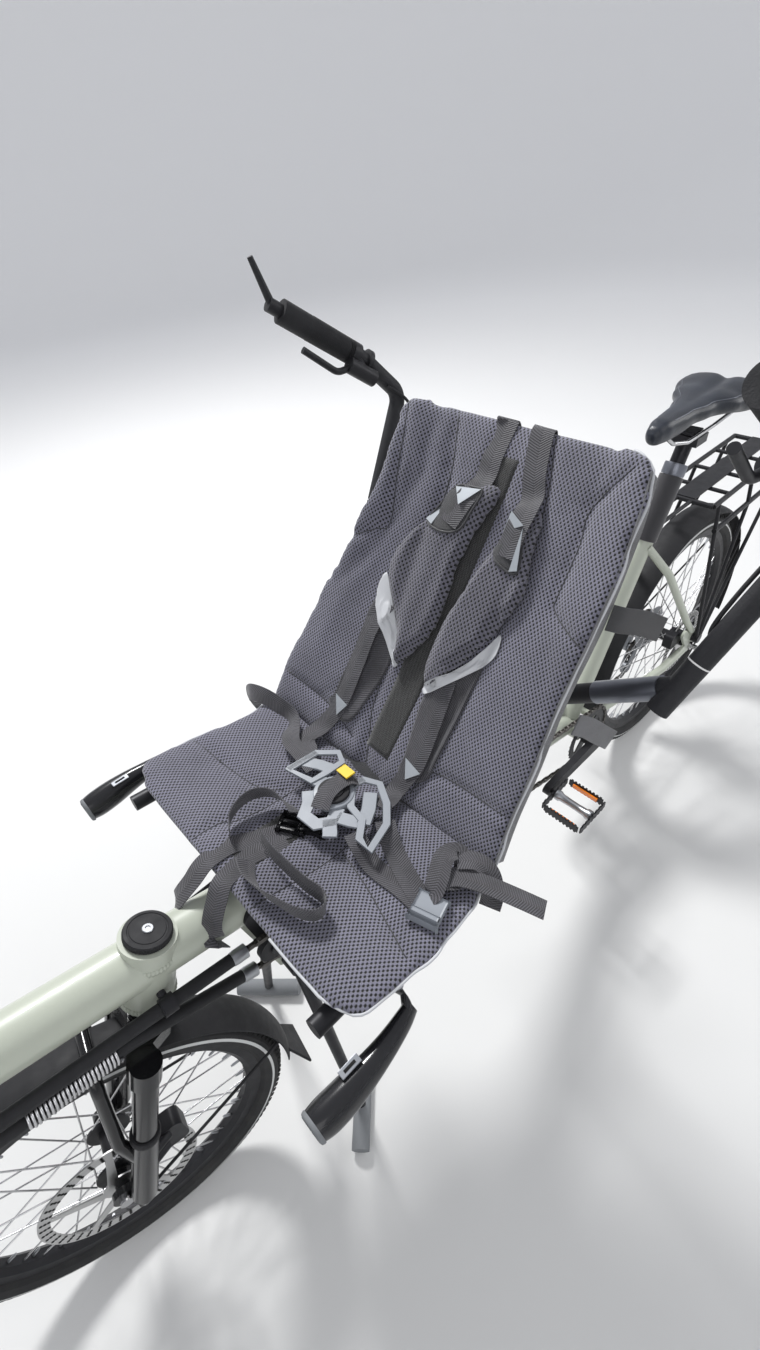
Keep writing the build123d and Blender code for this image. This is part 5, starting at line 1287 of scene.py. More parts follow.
class TANDEM_OT_drive(bpy.types.Operator):
    """Link both chains, cut the rings' teeth and wind the spring on the chain tube"""
    bl_idname = "tandem.drive"
    bl_label = "Chains and spring"

    def execute(self, context):
        settings = context.scene.tandem
        front, rear = hub_mm("front_crank_spin"), hub_mm("rear_crank_spin")
        ring, idle = STOKER_RING_R + CHAIN_MID, IDLER_R + CHAIN_MID
        up_a, _ = touch(front, ring, UPPER_MOUTH, 0, -1)
        top_a, _ = touch(IDLER, idle, UPPER_MOUTH, 0, 1)
        top_c, top_d = touch(IDLER, idle, rear, ring, -1)
        bot_a, _ = touch(IDLER, idle, LOWER_BEND, 0, -1)
        bot_c, bot_d = touch(IDLER, idle, rear, ring, 1)
        low_a, _ = touch(front, ring, LOWER_MOUTH, 0, 1)
        loop = arc_between(front, low_a, up_a) + [UPPER_MOUTH] + arc_between(IDLER, top_a, top_c)
        loop += arc_between(rear, top_d, bot_d) + arc_between(IDLER, bot_c, bot_a) + [LOWER_BEND, LOWER_MOUTH]
        self.chain("stoker_chain", loop, CHAIN_Y, "front_chain", settings.link_pitch)
        cog = hub_mm("rear_wheel_spin")
        guide, tension = (cog[0] + 22, cog[1] - 62), (cog[0] + 42, cog[1] - 112)
        drive, cog_r, jockey = DRIVE_RING_R + CHAIN_MID, COG_R + CHAIN_MID, JOCKEY_R + CHAIN_MID
        rt_a, rt_b = touch(rear, drive, cog, cog_r, -1)
        cg_a, cg_b = touch(cog, cog_r, guide, jockey, -1, True)
        gt_a, gt_b = touch(guide, jockey, tension, jockey, 1, True)
        rb_a, rb_b = touch(rear, drive, tension, jockey, 1)
        loop = arc_between(rear, rb_a, rt_a) + arc_between(cog, rt_b, cg_a) + arc_between(guide, cg_b, gt_a, -1)
        loop += arc_between(tension, gt_b, rb_b)
        self.chain("drive_chain", loop, -RIGHT_CHAIN_Y, "rear_chain", settings.link_pitch)
        for name, mid, y, r, body in (("front_ring_teeth", front, CHAIN_Y, STOKER_RING_R, "front_crank"),
                                      ("middle_ring_teeth", rear, CHAIN_Y, STOKER_RING_R, "rear_crank"),
                                      ("drive_ring_teeth", rear, -RIGHT_CHAIN_Y, DRIVE_RING_R, "rear_crank"),
                                      ("idler_teeth", IDLER, CHAIN_Y, IDLER_R - 3.5, "frame")):
            path, out = circle(at(mid[0], y, mid[1]), LEFT, (r - 0.5) / 1000)
            tooth = prism([(-0.0026, 0.0011), (0.0026, 0.0011), (0.0026, -0.0011), (-0.0026, -0.0011)], 0.0, 0.0034)
            for k in (4, 5, 6, 7):
                x, y_, z = tooth[0][k]
                tooth[0][k] = (x * 0.35, y_ * 0.7, z)
            repeat_along(name, path, out, tooth, round(2 * math.pi * r / 12.7), "black_satin", body)
        self.spring(settings.coil_turns)
        for name, near, far in (("upper_ferrule", top_a, UPPER_MOUTH), ("lower_ferrule", bot_a, LOWER_BEND)):
            a, b = at(near[0], CHAIN_Y, near[1]), at(far[0], CHAIN_Y, far[1])
            start, way = a + (b - a) * 0.13, (b - a).normalized()
            lathe(name, start, way, ((6.4, 0), (9.2, 0.6), (9.2, 15), (8.6, 20), (8.1, 20.4)), "silver", sides=28)
        return {"FINISHED"}

    def chain(self, name, loop, y, node, pitch):
        """Links with inner and outer plates, rollers and pins, set round a closed loop of (x, z) in mm."""
        half = pitch / 4
        inner = stadium(half * 2 - 0.001, 0.0078)
        outer = stadium(half * 2 - 0.001, 0.0074)
        parts = []
        for x, outline, gap, thick in ((-half, inner, 0.0013, 0.0010), (half, outer, 0.0025, 0.0009)):
            shifted = [(a + x, b) for a, b in outline]
            parts += [prism(shifted, gap, gap + thick), prism(shifted, -gap - thick, -gap)]
        for x in (-2 * half, 0.0):
            parts.append(round_bar(-0.0013, 0.0013, 0.0036, 8, 2, (x, 0.0)))
            parts.append(round_bar(-0.0037, 0.0037, 0.0015, 6, 2, (x, 0.0)))
        path = [at(x, y, z) for x, z in loop]
        length = sum((b - a).length for a, b in zip(path, path[1:] + path[:1]))
        obj = repeat_along(name, path, [LEFT] * len(path), merged(parts), round(length / pitch), "chain", "frame")
        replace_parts(obj, node)

    def spring(self, turns):
        """Coil round the lower chain tube, between its bend and its mouth."""
        slope = (LOWER_MOUTH[1] - LOWER_BEND[1]) / (LOWER_MOUTH[0] - LOWER_BEND[0])
        ends = [at(x, CHAIN_Y, LOWER_BEND[1] + slope * (x - LOWER_BEND[0])) for x in (COIL_FROM_X, COIL_TO_X)]
        axis = (ends[1] - ends[0]).normalized()
        coil = add_object("tube_coil", [ends[0], ends[0] + axis * 0.001], [], "steel")
        run_group(coil, coil_group(), {"Turns": turns, "Radius": 0.0108, "Length": (ends[1] - ends[0]).length,
                                       "Wire": 0.0016, "Finish": MATS["steel"].m})
        coil.data.transform(Matrix.Translation(ends[0]) @ axis.to_track_quat("Z", "Y").to_matrix().to_4x4())
        shade(coil, True)
        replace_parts(outward(coil), "tube_spring")


# Wheels


def axle_of(end):
    """Middle of the front or the rear wheel and its axle's direction to the left."""
    axis = Vector(joint(end + "_wheel_spin")["axis"]).normalized()
    hub = steered(at(0, 0, 250), FORK_BASE) if end == "front" else at(-1458, 0, 300)
    return hub, axis if axis.y > 0 else -axis


# Rows of tread blocks beside the middle one: side, place along the axle, drop below the crown, lean
TREAD_ROWS = ((-1, 9.4, 1.9, 0.62), (1, 9.4, 1.9, 0.62), (-1, 17.6, 7.6, 1.3), (1, 17.6, 7.6, 1.3))


class TANDEM_OT_wheels(bpy.types.Operator):
    """Tread blocks, spoke nipples and the holes in the brake discs"""
    bl_idname = "tandem.wheels"
    bl_label = "Wheels"

    def execute(self, context):
        blocks = context.scene.tandem.tread_rows
        for name, tyre_r, rim_in in (("front", 250, 192), ("rear", 300, 242)):
            hub, axle = axle_of(name)
            body = name + "_wheel"
            rows = []
            block = prism([(-0.0040, -0.0030), (0.0030, -0.0034), (0.0042, 0.0026), (-0.0030, 0.0034)], -0.0006, 0.0006)
            for k, (side, y, drop, lean) in enumerate(TREAD_ROWS):
                path, out = circle(hub + axle * (side * y / 1000), axle, (tyre_r - drop) / 1000, 120)
                tilt = [o * math.cos(lean) + axle * (side * math.sin(lean)) for o in out]
                rows.append(repeat_along("%s_tread_%d" % (name, k), path, tilt, block, blocks, "tread", body))
            path, out = circle(hub, axle, tyre_r / 1000, 120)
            rows.append(repeat_along(name + "_tread_mid", path, out, prism(
                [(-0.0050, -0.0052), (0.0038, -0.0044), (0.0050, 0.0052), (-0.0038, 0.0044)], -0.0008, 0.0003),
                blocks, "tread", body))
            join(name + "_tread", rows)
            nipple = merged([round_bar(-0.012, -0.001, 0.0021, 8, 2), round_bar(-0.0145, -0.012, 0.0016, 8, 2)])
            path, out = circle(hub, axle, rim_in / 1000, 128)
            repeat_along(name + "_nipples", path, out, nipple, 32, "silver", body)
        self.disc_holes()
        return {"FINISHED"}

    def disc_holes(self):
        """Drillings in both faces of each brake disc, painted near black as shade."""
        for name, y, r_out in (("front", 41.0, 101.5), ("rear", 52.0, 80.0)):
            hub, axle = axle_of(name)
            dot = round_bar(-0.00135, 0.00135, 0.0021, 8, 1)
            rings = []
            for k, inset in enumerate((4.0, 8.5, 13.0)):
                path, out = circle(hub + axle * (y / 1000), axle, (r_out - inset) / 1000, 144)
                rings.append(repeat_along("%s_disc_row_%d" % (name, k), path, out, dot, 42, "hole", name + "_wheel"))
            join(name + "_disc_holes", rings)


# Head tube, handles, bar, pedals and straps


def lathe(name, centre, axis, profile, finish, body="frame", sides=48, teeth=0.0, sharp=32):
    """Turned piece; profile of (radius, height) from bottom to top in mm, the rim cut with teeth if asked."""
    axis = Vector(axis).normalized()
    a = axis.orthogonal().normalized()
    b = axis.cross(a)
    verts = []
    widest = max(r for r, _ in profile)
    for r, h in profile:
        for k in range(sides):
            t = 2 * math.pi * k / sides
            cut = teeth * (k % 2) if r > widest - 0.6 else 0.0
            verts.append(centre + axis * (h / 1000) + (a * math.cos(t) + b * math.sin(t)) * ((r - cut) / 1000))
    return ringed(name, verts, sides, finish, body, sharp)


def oval_sweep(name, sections, finish, sides=28, steps=5):
    """Smooth form through oval sections of (point, side vector, up vector) with vectors as half sizes."""
    points = curve_points([c for c, _, _ in sections], steps)
    across = curve_points([w for _, w, _ in sections], steps)
    over = curve_points([h for _, _, h in sections], steps)
    verts = []
    for p, w, h in zip(points, across, over):
        for k in range(sides):
            t = 2 * math.pi * k / sides
            verts.append(p + w * math.cos(t) + h * math.sin(t))
    return ringed(name, verts, sides, finish, "frame", 50)


class TANDEM_OT_head(bpy.types.Operator):
    """Knurled cap and weld beads of the head tube, and marks on the fork legs"""
    bl_idname = "tandem.head"
    bl_label = "Head tube"

    def execute(self, context):
        cap = NODES["head_cap"].data
        heights = [(v.co - FORK_BASE).dot(UP) * 1000 for v in cap.vertices]
        radii = [(v.co - FORK_BASE - UP * ((v.co - FORK_BASE).dot(UP))).length * 1000 for v in cap.vertices]
        low, high, r = min(heights), max(heights), max(radii)
        top = FORK_BASE + UP * (low / 1000)
        tall, r = high - low, r - 4.5
        piece = lathe("head_cap_knurled", top, UP, ((r - 1.5, 0), (r, 1.2), (r, tall - 2.4), (r - 1.4, tall - 0.8),
                                                    (r - 5.0, tall - 0.3), (r - 5.6, tall - 1.2), (r - 7.2, tall - 1.2),
                                                    (r - 7.8, tall - 0.4), (9.0, tall)), "matt", "fork", 160, 0.55)
        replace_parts(piece, "head_cap")
        lathe("head_cap_bolt", top + UP * ((tall - 0.5) / 1000), UP,
              ((6.4, 0), (6.4, 1.4), (5.6, 2.0), (3.0, 2.0), (2.6, 0.9)), "silver", "fork", 36)
        bead = ico_bead(0.0034, 0.0056, 0.0026)
        rings = []
        for k, (t, r0) in enumerate(((398.0, 31.6), (331.0, 31.6))):
            path, out = circle(FORK_BASE + UP * (t / 1000), UP, r0 / 1000, 96)
            rings.append(repeat_along("weld_%d" % k, path, out, bead, 46, "paint", "frame", smooth=True))
        join("head_welds", rings)
        for side in (1, -1):
            foot = fork_at(20, side * 65, 146)
            lathe("leg_seal_%s" % ("left" if side > 0 else "right"), foot, UP,
                  ((17.6, 0), (18.4, 1.5), (18.4, 7), (17.0, 9.5), (15.4, 10)), "matt", "fork", 40)
        lathe("leg_band", fork_at(20, -65, 92), UP, ((17.15, 0), (17.3, 0.4), (17.3, 21.6), (17.15, 22)),
              "red", "fork", 40)
        return {"FINISHED"}


def ico_bead(x, y, z):
    """Low flattened bead."""
    bm = bmesh.new()
    bmesh.ops.create_icosphere(bm, subdivisions=1, radius=1.0)
    verts = [(v.co.x * x, v.co.y * y, v.co.z * z) for v in bm.verts]
    faces = [tuple(v.index for v in f.verts) for f in bm.faces]
    bm.free()
    return verts, faces


# Side handle in mm: sections as (x, y, z, half width, half height), the rings of its cap, a bolt's profile
HANDLE_SECTIONS = (
    (-352, 249, 599, 8, 10), (-336, 253, 598, 10, 12), (-310, 257, 597, 12, 13), (-280, 259, 595, 14.5, 17),
    (-252, 259, 593, 17, 20), (-228, 258, 592, 17.5, 20), (-214, 257, 592, 15.5, 17.5))
HANDLE_CAP = ((-1.5, 16.4, 18.4), (0, 16.6, 18.6), (2.6, 15.6, 17.6), (3.4, 13.5, 15.5))
HANDLE_BOLT = ((5, 0), (5, 3.4), (4.2, 4.2), (2.4, 4.2), (2.2, 2.0))


class TANDEM_OT_handles(bpy.types.Operator):
    """Moulded side handles with their ribbed end caps, bolts and slotted plates"""
    bl_idname = "tandem.handles"
    bl_label = "Side handles"

    def execute(self, context):
        made = []
        for side in (1, -1):
            tag = "left" if side > 0 else "right"

            def spot(x, y, z):
                return at(x, side * y, z)

            sections = [(spot(x, y, z), LEFT * (w / 1000), Vector((0.15, 0, 1)).normalized() * (h / 1000))
                        for x, y, z, w, h in HANDLE_SECTIONS]
            body = oval_sweep("handle_" + tag, sections, "gloss_plastic")
            out = Vector((0.99, 0, -0.03)).normalized()
            cap_mid = spot(-214, 257, 592)
            sections = [(cap_mid + out * (k / 1000), LEFT * (w / 1000), RISE * (h / 1000)) for k, w, h in HANDLE_CAP]
            cap = oval_sweep("handle_cap_" + tag, sections, "foot", steps=2)
            ribs, lean = circle(cap_mid + out * 0.0034, out, 0.0105, 24)
            rib = prism([(-0.0008, -0.0004), (0.0008, -0.0004), (0.0008, 0.0004), (-0.0008, 0.0004)], -0.004, 0.003)
            ribbing = repeat_along("handle_ribs_" + tag, ribs, lean, rib, 22, "foot", "frame")
            neck = oval_sweep("handle_neck_" + tag, [
                (spot(-344, 250, 600), LEFT * 0.008, RISE * 0.010), (spot(-352, 240, 606), LEFT * 0.008, RISE * 0.010),
                (spot(-352, 226, 612), AHEAD * 0.008, RISE * 0.010),
                (spot(-350, 212, 616), AHEAD * 0.009, RISE * 0.011)], "gloss_plastic")
            plate = block_piece("handle_plate_" + tag, spot(-268, 250, 614.5), AXES, (0.024, 0.009, 0.0016),
                                "grey_metal", soft=0.0005)
            # painted shade: a thin near-black block stands for the shade in the plate's slot
            slot_shade = block_piece("handle_slot_" + tag, spot(-268, 250, 615.4), AXES, (0.014, 0.003, 0.0010),
                                    "hole", soft=0.0002)
            bolts = [lathe("handle_bolt_%s_%d" % (tag, k), spot(x, y, z), RISE, HANDLE_BOLT, "silver", sides=24)
                     for k, (x, y, z) in enumerate(((-352, 214, 626), (-352, 232, 618)))]
            made.append(join("handle_" + tag + "_moulding", [body, neck]))
            join("handle_" + tag + "_end", [cap, ribbing])
            join("handle_" + tag + "_fittings", [plate, slot_shade] + bolts)
        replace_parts(made[0], "side_handles")
        return {"FINISHED"}


ELBOW = (-776.0, 298.0, 791.0)
BEND = (-889.0, 341.0, 963.0)
GRIP_IN = (-827.0, 338.0, 1028.0)
GRIP_END = (-708.0, 345.0, 1114.0)


class TANDEM_OT_bar(bpy.types.Operator):
    """Rings, grip mouldings and brake hoses on the big handlebar"""
    bl_idname = "tandem.bar"
    bl_label = "Handlebar"

    def execute(self, context):
        for side in (1, -1):
            tag = "left" if side > 0 else "right"

            def spot(p, lift=0.0):
                return bar_at(p[0], side * p[1], p[2] + lift)

            elbow, bend = spot(ELBOW), spot(BEND)
            up = (bend - elbow).normalized()
            lathe("bar_line_" + tag, elbow + up * 0.031, up, ((12.75, 0), (13.0, 0.3), (13.0, 1.5), (12.75, 1.8)),
                  "white", "handlebar", 40)
            a, b = spot(GRIP_END), spot(GRIP_IN)
            along = (b - a).normalized()
            lathe("grip_ring_" + tag, b + along * 0.001, along, ((13.4, 0), (17.6, 0.6), (17.6, 7.4), (13.4, 8)),
                  "black_satin", "handlebar", 40)
            reach = (b - a).length - 0.065
            verts, faces = round_bar(-0.0006, 0.0006, 0.0174, 32)
            repeat_along("grip_ribs_" + tag, [a + along * (0.045 + reach * k / 20) for k in range(21)], [LEFT] * 21,
                         ([(z, x, y) for x, y, z in verts], faces), 30, "grip", "handlebar", closed=False)
            inward = LEFT * -side
            hose = [b + along * 0.035 - RISE * 0.022 + inward * 0.012,
                    spot(BEND, -6) + inward * 0.024 - RISE * 0.012,
                    bend * 0.55 + elbow * 0.45 + inward * 0.018 - RISE * 0.002,
                    elbow + up * 0.075 + inward * 0.015,
                    elbow + up * 0.060 + inward * 0.009]
            tube_piece("brake_hose_" + tag, curve_points(hose, 10), 0.0025, "matt", "handlebar", sides=10)
        return {"FINISHED"}


class TANDEM_OT_pedals(bpy.types.Operator):
    """Cage pedals with toothed plates, silver barrels and amber reflectors"""
    bl_idname = "tandem.pedals"
    bl_label = "Pedals"

    def execute(self, context):
        for node in ("pedal_front_left", "pedal_front_right", "pedal_rear_left", "pedal_rear_right"):
            mesh = NODES[node].data
            low = Vector([min(v.co[k] for v in mesh.vertices) for k in range(3)])
            high = Vector([max(v.co[k] for v in mesh.vertices) for k in range(3)])
            mid, size = (low + high) / 2, high - low
            end, place = node.split("_")[1:]
            body = "%s_%s_pedal" % (end, place)
            black = []
            for k in (-1, 1):
                verts, faces = prism(toothed(size.y * 0.86, 0.0105, 0.0035, 9), -0.0014, 0.0014)
                edge = mid + AHEAD * (k * (size.x / 2 - 0.0016))
                verts = [edge + LEFT * x + RISE * y + AHEAD * z for x, y, z in verts]
                black.append(outward(add_object("%s_plate_%d" % (node, k), verts, faces, "black_satin", body,
                                                smooth=False)))
                verts, faces = prism(toothed(size.x * 0.94, 0.0105, 0.0030, 7), -0.0014, 0.0014)
                edge = mid + LEFT * (k * (size.y / 2 - 0.0016))
                verts = [edge + AHEAD * x + RISE * y + LEFT * z for x, y, z in verts]
                black.append(outward(add_object("%s_side_%d" % (node, k), verts, faces, "black_satin", body,
                                                smooth=False)))
            amber = [block_piece("%s_lens_%d" % (node, k), mid + AHEAD * (k * (size.x / 2 - 0.0052)), AXES,
                                 (0.004, size.y * 0.62, 0.009), "amber", soft=0.0008, body=body) for k in (-1, 1)]
            wide = size.y * 1000
            barrel = ((8.5, 0), (10.5, 1.5), (10.5, 9), (8.2, 13), (7.4, 30), (7.4, wide - 38), (8.2, wide - 21),
                      (10.5, wide - 17), (10.5, wide - 9.5), (8.5, wide - 8))
            lathe(node + "_barrel", mid - LEFT * (size.y / 2 - 0.004), LEFT, barrel, "silver", body, 28)
            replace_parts(join(node + "_cage", black), node)
            join(node + "_reflectors", amber)
        return {"FINISHED"}


def toothed(length, half, depth, teeth):
    """Outline of a plate with square teeth along both long edges."""
    step = length / (2 * teeth + 1)
    top = []
    for k in range(2 * teeth + 1):
        x0, x1 = -length / 2 + step * k, -length / 2 + step * (k + 1)
        h = half if k % 2 else half - depth
        top += [(x0, h), (x1, h)]
    return top + [(x, -h) for x, h in reversed(top)]


RAIL_STRAPS = (
    ("rail_strap_high", ((-716, 205, 868), (-728, 216, 862), (-752, 226, 850), (-786, 236, 826)), 0.028, "binding"),
    ("rail_strap_low", ((-668, 214, 746), (-682, 222, 736), (-700, 230, 716), (-722, 236, 692)), 0.026, "wall_cloth"))


class TANDEM_OT_trim(bpy.types.Operator):
    """Straps round the seat's rails, and the band and collar of the seat tube"""
    bl_idname = "tandem.trim"
    bl_label = "Straps and trim"

    def execute(self, context):
        for name, ends, width, finish in RAIL_STRAPS:
            strap(name, [at(*p) for p in ends], [BACK_UP * 0.5 + LEFT] * len(ends), width, 0.002, finish)
        tube = at(-1068, 0, 282)
        rise = Vector((-math.cos(SEAT_TUBE), 0, math.sin(SEAT_TUBE)))
        band = ((18.6, 409), (21.2, 410), (21.2, 530), (15.0, 530.5))
        lathe("tube_band", tube, rise, band, "strap")
        collar = ((14, 530.6), (20, 530.8), (20.6, 534), (20.6, 549), (19.8, 552), (14, 552.5))
        lathe("tube_collar", tube, rise, collar, "bar_grey")
        return {"FINISHED"}


# Saddle in mm: widths and heights by the share of its length from the nose
SADDLE_ROWS = 44
SADDLE_RING = 40
SADDLE_FILL = 0.0018
SADDLE_L = 275.0
SADDLE_WIDE = ((0.0, 7), (0.03, 14), (0.12, 20), (0.34, 25), (0.5, 36), (0.68, 60), (0.84, 76), (0.95, 74), (1.0, 52))
SADDLE_TOP = ((0.0, -26), (0.035, -14), (0.12, -9), (0.4, -8), (0.7, -2), (0.92, 2), (1.0, -10))
SADDLE_LOW = ((0.0, -42), (0.05, -47), (0.2, -48), (0.42, -40), (0.6, -40), (0.8, -48), (0.94, -47), (1.0, -34))


class TANDEM_OT_saddle(bpy.types.Operator):
    """Pad the captain's saddle and sew its flanks"""
    bl_idname = "tandem.saddle"
    bl_label = "Saddle"

    def execute(self, context):
        nose = at(-1176, 0, 898)
        side = Side(nose, -AHEAD, RISE, lambda s, y, h: nose + Vector((-s, y, h)) / 1000)
        rows, ring, verts = SADDLE_ROWS, SADDLE_RING, []
        for i in range(rows + 1):
            share = i / rows
            share = share * share * (3 - 2 * share) * 0.5 + share * 0.5
            wide, top, low = (table_at(t, share) for t in (SADDLE_WIDE, SADDLE_TOP, SADDLE_LOW))
            for k in range(ring):
                c, s = math.cos(2 * math.pi * k / ring), math.sin(2 * math.pi * k / ring)
                y = wide * math.copysign(abs(c) ** 0.8, c)
                z = (top + low) / 2 + (top - low) / 2 * math.copysign(abs(s) ** 0.8, s)
                verts.append(side.place(SADDLE_L * share, y, z))
        faces = ring_caps(rows + 1, ring) + ring_quads(rows + 1, ring)
        obj = outward(add_object("saddle_cover", verts, faces, "saddle"))

        def pressed(s, y):
            share = s / SADDLE_L
            lobe = smooth_step(0.40, 0.70, share)
            return -5.5 * lobe * math.exp(-(y / 13.0) ** 2) - 1.0 * math.exp(-(y / 7.0) ** 2)

        def held(s, y):
            return abs(y) > table_at(SADDLE_WIDE, s / SADDLE_L) - 3

        puff(obj, side, SADDLE_FILL, PAD_VOXEL, held, pressed, 2.0)
        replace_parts(obj, "saddle")
        # painted highlight: the flank seams are real, and their grey colour stands in for the highlight along them
        seams = []
        for hand in (-1, 1):
            path = [side.top(SADDLE_L * (0.16 + 0.70 * i / 30),
                             hand * (table_at(SADDLE_WIDE, 0.16 + 0.70 * i / 30) - 6 - 5 * i / 30), 0.2)
                    for i in range(31)]
            seams.append(tube_piece("saddle_seam_%d" % hand, path, 0.0007, "bar_grey", sides=8))
        join("saddle_stitching", seams)
        return {"FINISHED"}


class TANDEM_OT_finishes(bpy.types.Operator):
    """Mix the finishes and put them on the CAD nodes"""
    bl_idname = "tandem.finishes"
    bl_label = "Finishes"

    def execute(self, context):
        build_materials()
        front = joint("front_wheel_spin")
        rear = joint("rear_wheel_spin")
        MATS["front_tyre"] = tyre_material("front_tyre_rubber", front["pos_m"], front["axis"], 0.2285, 0.2325)
        MATS["rear_tyre"] = tyre_material("rear_tyre_rubber", rear["pos_m"], rear["axis"], 0.2785, 0.2825)
        for finish, names in NODE_FINISH.items():
            for n in names.split():
                dress(n, finish)
        for n in NODES:
            if n not in " ".join(NODE_FINISH.values()).split():
                raise RuntimeError("no finish for " + n)
        return {"FINISHED"}


NODE_FINISH = {
    "paint": "main_tube seat_tube chain_stays seat_stays stand_bracket",
    "anodised": "boom seat_post",
    "matt": "rear_mudguard front_mudguard chain_tubes chain_idler",
    "chain": "front_chain rear_chain",
    "steel": "tube_spring rear_axle saddle_rails front_axle front_spokes rear_spokes",
    "grey_metal": "rear_derailleur cassette",
    "black_satin": "idler_bracket rear_caliper seat_frame rack_platform rack_legs front_caliper front_rim front_hub "
                   "rear_rim rear_hub steering_column control_levers tie_rod front_crankset rear_crankset stand_legs",
    "black_gloss": "fork_crown fork_lowers",
    "mesh": "seat_pan_pad seat_back_pad harness_pads",
    "gloss_plastic": "side_handles head_cap",
    "grey_plastic": "harness_buckle",
    "saddle": "saddle",
    "disc": "front_rotor rear_rotor",
    "front_tyre": "front_tyre",
    "rear_tyre": "rear_tyre",
    "black_texture": "handlebar_bar",
    "bar_grey": "bar_sleeves",
    "grip": "grips",
    "silver": "pedal_front_left pedal_front_right pedal_rear_left pedal_rear_right",
    "foot": "stand_feet",
}


# Round floor with a rising rim, in metres
FLOOR_FLAT = 8.0
FLOOR_BEND = 3.0
WALL_TOP = 7.0
# Area lamps: name, place, aim, watts, width
LAMPS = (
    ("key_lamp", (-0.6, -2.4, 3.6), (0, 0, 0.5), 165, 0.7),
    ("fill_lamp", (2.4, 2.2, 2.6), (0, 0, 0.6), 26, 2.5),
    ("rim_lamp", (-3.0, 2.0, 2.4), (0, 0, 0.7), 34, 2.0),
)
# The photograph's camera: focal length and longer side in pixels, place in mm, yaw, pitch and roll in radians
PHOTO_FOCAL = 606.96
PHOTO_SIDE = 1350
PHOTO_PLACE = (-204.42, 437.88, 1273.11)
PHOTO_TURN = (-2.2547, 0.7296, 0.1098)
SENSOR = 36


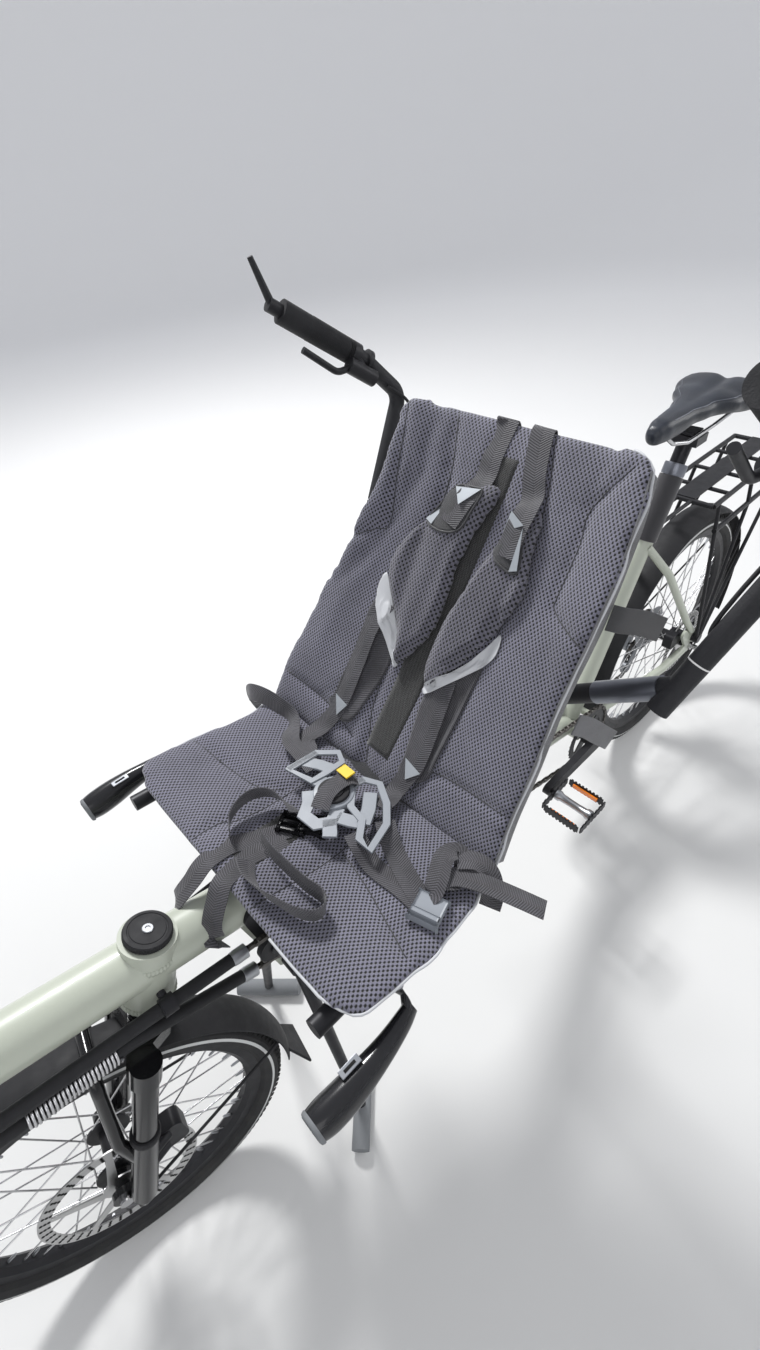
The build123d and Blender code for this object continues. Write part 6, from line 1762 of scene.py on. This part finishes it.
class TANDEM_OT_stage(bpy.types.Operator):
    """Lay the pale floor, hang the soft lamps and set the camera as in the photograph"""
    bl_idname = "tandem.stage"
    bl_label = "Stage"

    def execute(self, context):
        scene = context.scene
        sides = 72
        bend = [math.pi / 2 * k / 8 for k in range(1, 9)]
        profile = [(FLOOR_FLAT, 0.0)]
        profile += [(FLOOR_FLAT + FLOOR_BEND * math.sin(a), FLOOR_BEND * (1 - math.cos(a))) for a in bend]
        profile += [(FLOOR_FLAT + FLOOR_BEND, WALL_TOP)]
        verts = [(0, 0, 0)]
        for r, z in profile:
            verts += [(r * math.cos(a), r * math.sin(a), z) for a in (2 * math.pi * k / sides for k in range(sides))]
        faces = [(0, 1 + k, 1 + (k + 1) % sides) for k in range(sides)]
        for j in range(len(profile) - 1):
            for k in range(sides):
                a, b = 1 + j * sides + k, 1 + j * sides + (k + 1) % sides
                faces.append((a, a + sides, b + sides, b))
        mesh = bpy.data.meshes.new("floor")
        mesh.from_pydata(verts, [], faces)
        floor = bpy.data.objects.new("floor", mesh)
        shade(floor, True)
        scene.collection.objects.link(floor)
        f = Finish("pale_floor", (0.70, 0.70, 0.69), 0.9)
        f.tint(f.ramp(f.noise(2.0, 3.0), 0.3, 0.7), (0.69, 0.69, 0.68))
        away = f.node("ShaderNodeVectorMath", operation="LENGTH")
        f.put(f.coord, away.inputs[0])
        f.tint(f.ramp(away.outputs["Value"], 1.5, 6.0), (0.97, 0.97, 0.97))
        mesh.materials.append(f.m)
        world = bpy.data.worlds.new("soft_world")
        world.use_nodes = True
        back = world.node_tree.nodes["Background"]
        back.inputs[0].default_value = (0.92, 0.94, 1.0, 1)
        back.inputs[1].default_value = 0.56
        scene.world = world
        for name, place, aim, watts, width in LAMPS:
            lamp = bpy.data.lights.new(name, "AREA")
            lamp.energy = watts
            lamp.size = width
            o = bpy.data.objects.new(name, lamp)
            scene.collection.objects.link(o)
            o.location = place
            o.rotation_euler = (Vector(aim) - Vector(place)).to_track_quat("-Z", "Y").to_euler()
        cam = bpy.data.cameras.new("photo_camera")
        cam.lens = PHOTO_FOCAL * SENSOR / PHOTO_SIDE
        cam.sensor_width = SENSOR
        cam.clip_start, cam.clip_end = 0.02, 60
        o = bpy.data.objects.new("photo_camera", cam)
        scene.collection.objects.link(o)
        yaw, pitch, roll = PHOTO_TURN
        look = Vector((math.cos(yaw) * math.cos(pitch), math.sin(yaw) * math.cos(pitch), -math.sin(pitch)))
        right = Vector((math.sin(yaw), -math.cos(yaw), 0))
        down = look.cross(right)
        r2 = right * math.cos(roll) + down * math.sin(roll)
        d2 = right * -math.sin(roll) + down * math.cos(roll)
        rot = Matrix((r2, -d2, -look)).transposed()
        o.matrix_world = Matrix.Translation(at(*PHOTO_PLACE)) @ rot.to_4x4()
        scene.camera = o
        scene.view_settings.view_transform = "Standard"
        return {"FINISHED"}


class TandemSettings(bpy.types.PropertyGroup):
    """Sizes and counts that the steps use"""
    fill_cap: bpy.props.FloatProperty(
        name="Fill of the cover", description="Most that the cover's face may swell between its seams",
        default=0.006, min=0.0, max=0.02, unit="LENGTH")
    pad_cap: bpy.props.FloatProperty(
        name="Fill of the pads", description="Most that a harness pad may swell", default=0.005, min=0.0, max=0.02,
        unit="LENGTH")
    link_pitch: bpy.props.FloatProperty(
        name="Chain pitch", description="Length of one pair of chain links", default=0.0254, min=0.01, max=0.05,
        unit="LENGTH")
    tread_rows: bpy.props.IntProperty(
        name="Tread blocks", description="Tread blocks round each edge of a tyre", default=120, min=20, max=300)
    coil_turns: bpy.props.IntProperty(
        name="Spring turns", description="Turns of the spring on the lower chain tube", default=22, min=4, max=60)


class TANDEM_PT_panel(bpy.types.Panel):
    """Steps that dress the tandem"""
    bl_label = "Tandem"
    bl_idname = "TANDEM_PT_panel"
    bl_space_type = "VIEW_3D"
    bl_region_type = "UI"
    bl_category = "Tandem"

    def draw(self, context):
        for name in TandemSettings.__annotations__:
            self.layout.prop(context.scene.tandem, name)
        for step in STEPS:
            self.layout.operator(step.bl_idname)


STEPS = (TANDEM_OT_finishes, TANDEM_OT_stage, TANDEM_OT_seat_cover, TANDEM_OT_harness, TANDEM_OT_drive,
         TANDEM_OT_wheels, TANDEM_OT_head, TANDEM_OT_handles, TANDEM_OT_bar, TANDEM_OT_pedals, TANDEM_OT_saddle,
         TANDEM_OT_trim)
CLASSES = (TandemSettings,) + STEPS + (TANDEM_PT_panel,)


def register():
    for c in CLASSES:
        bpy.utils.register_class(c)
    bpy.types.Scene.tandem = bpy.props.PointerProperty(type=TandemSettings)


def unregister():
    del bpy.types.Scene.tandem
    for c in reversed(CLASSES):
        bpy.utils.unregister_class(c)


def main():
    register()
    for step in STEPS:
        group, op = step.bl_idname.split(".")
        getattr(getattr(bpy.ops, group), op)()


if __name__ == "__main__":
    main()
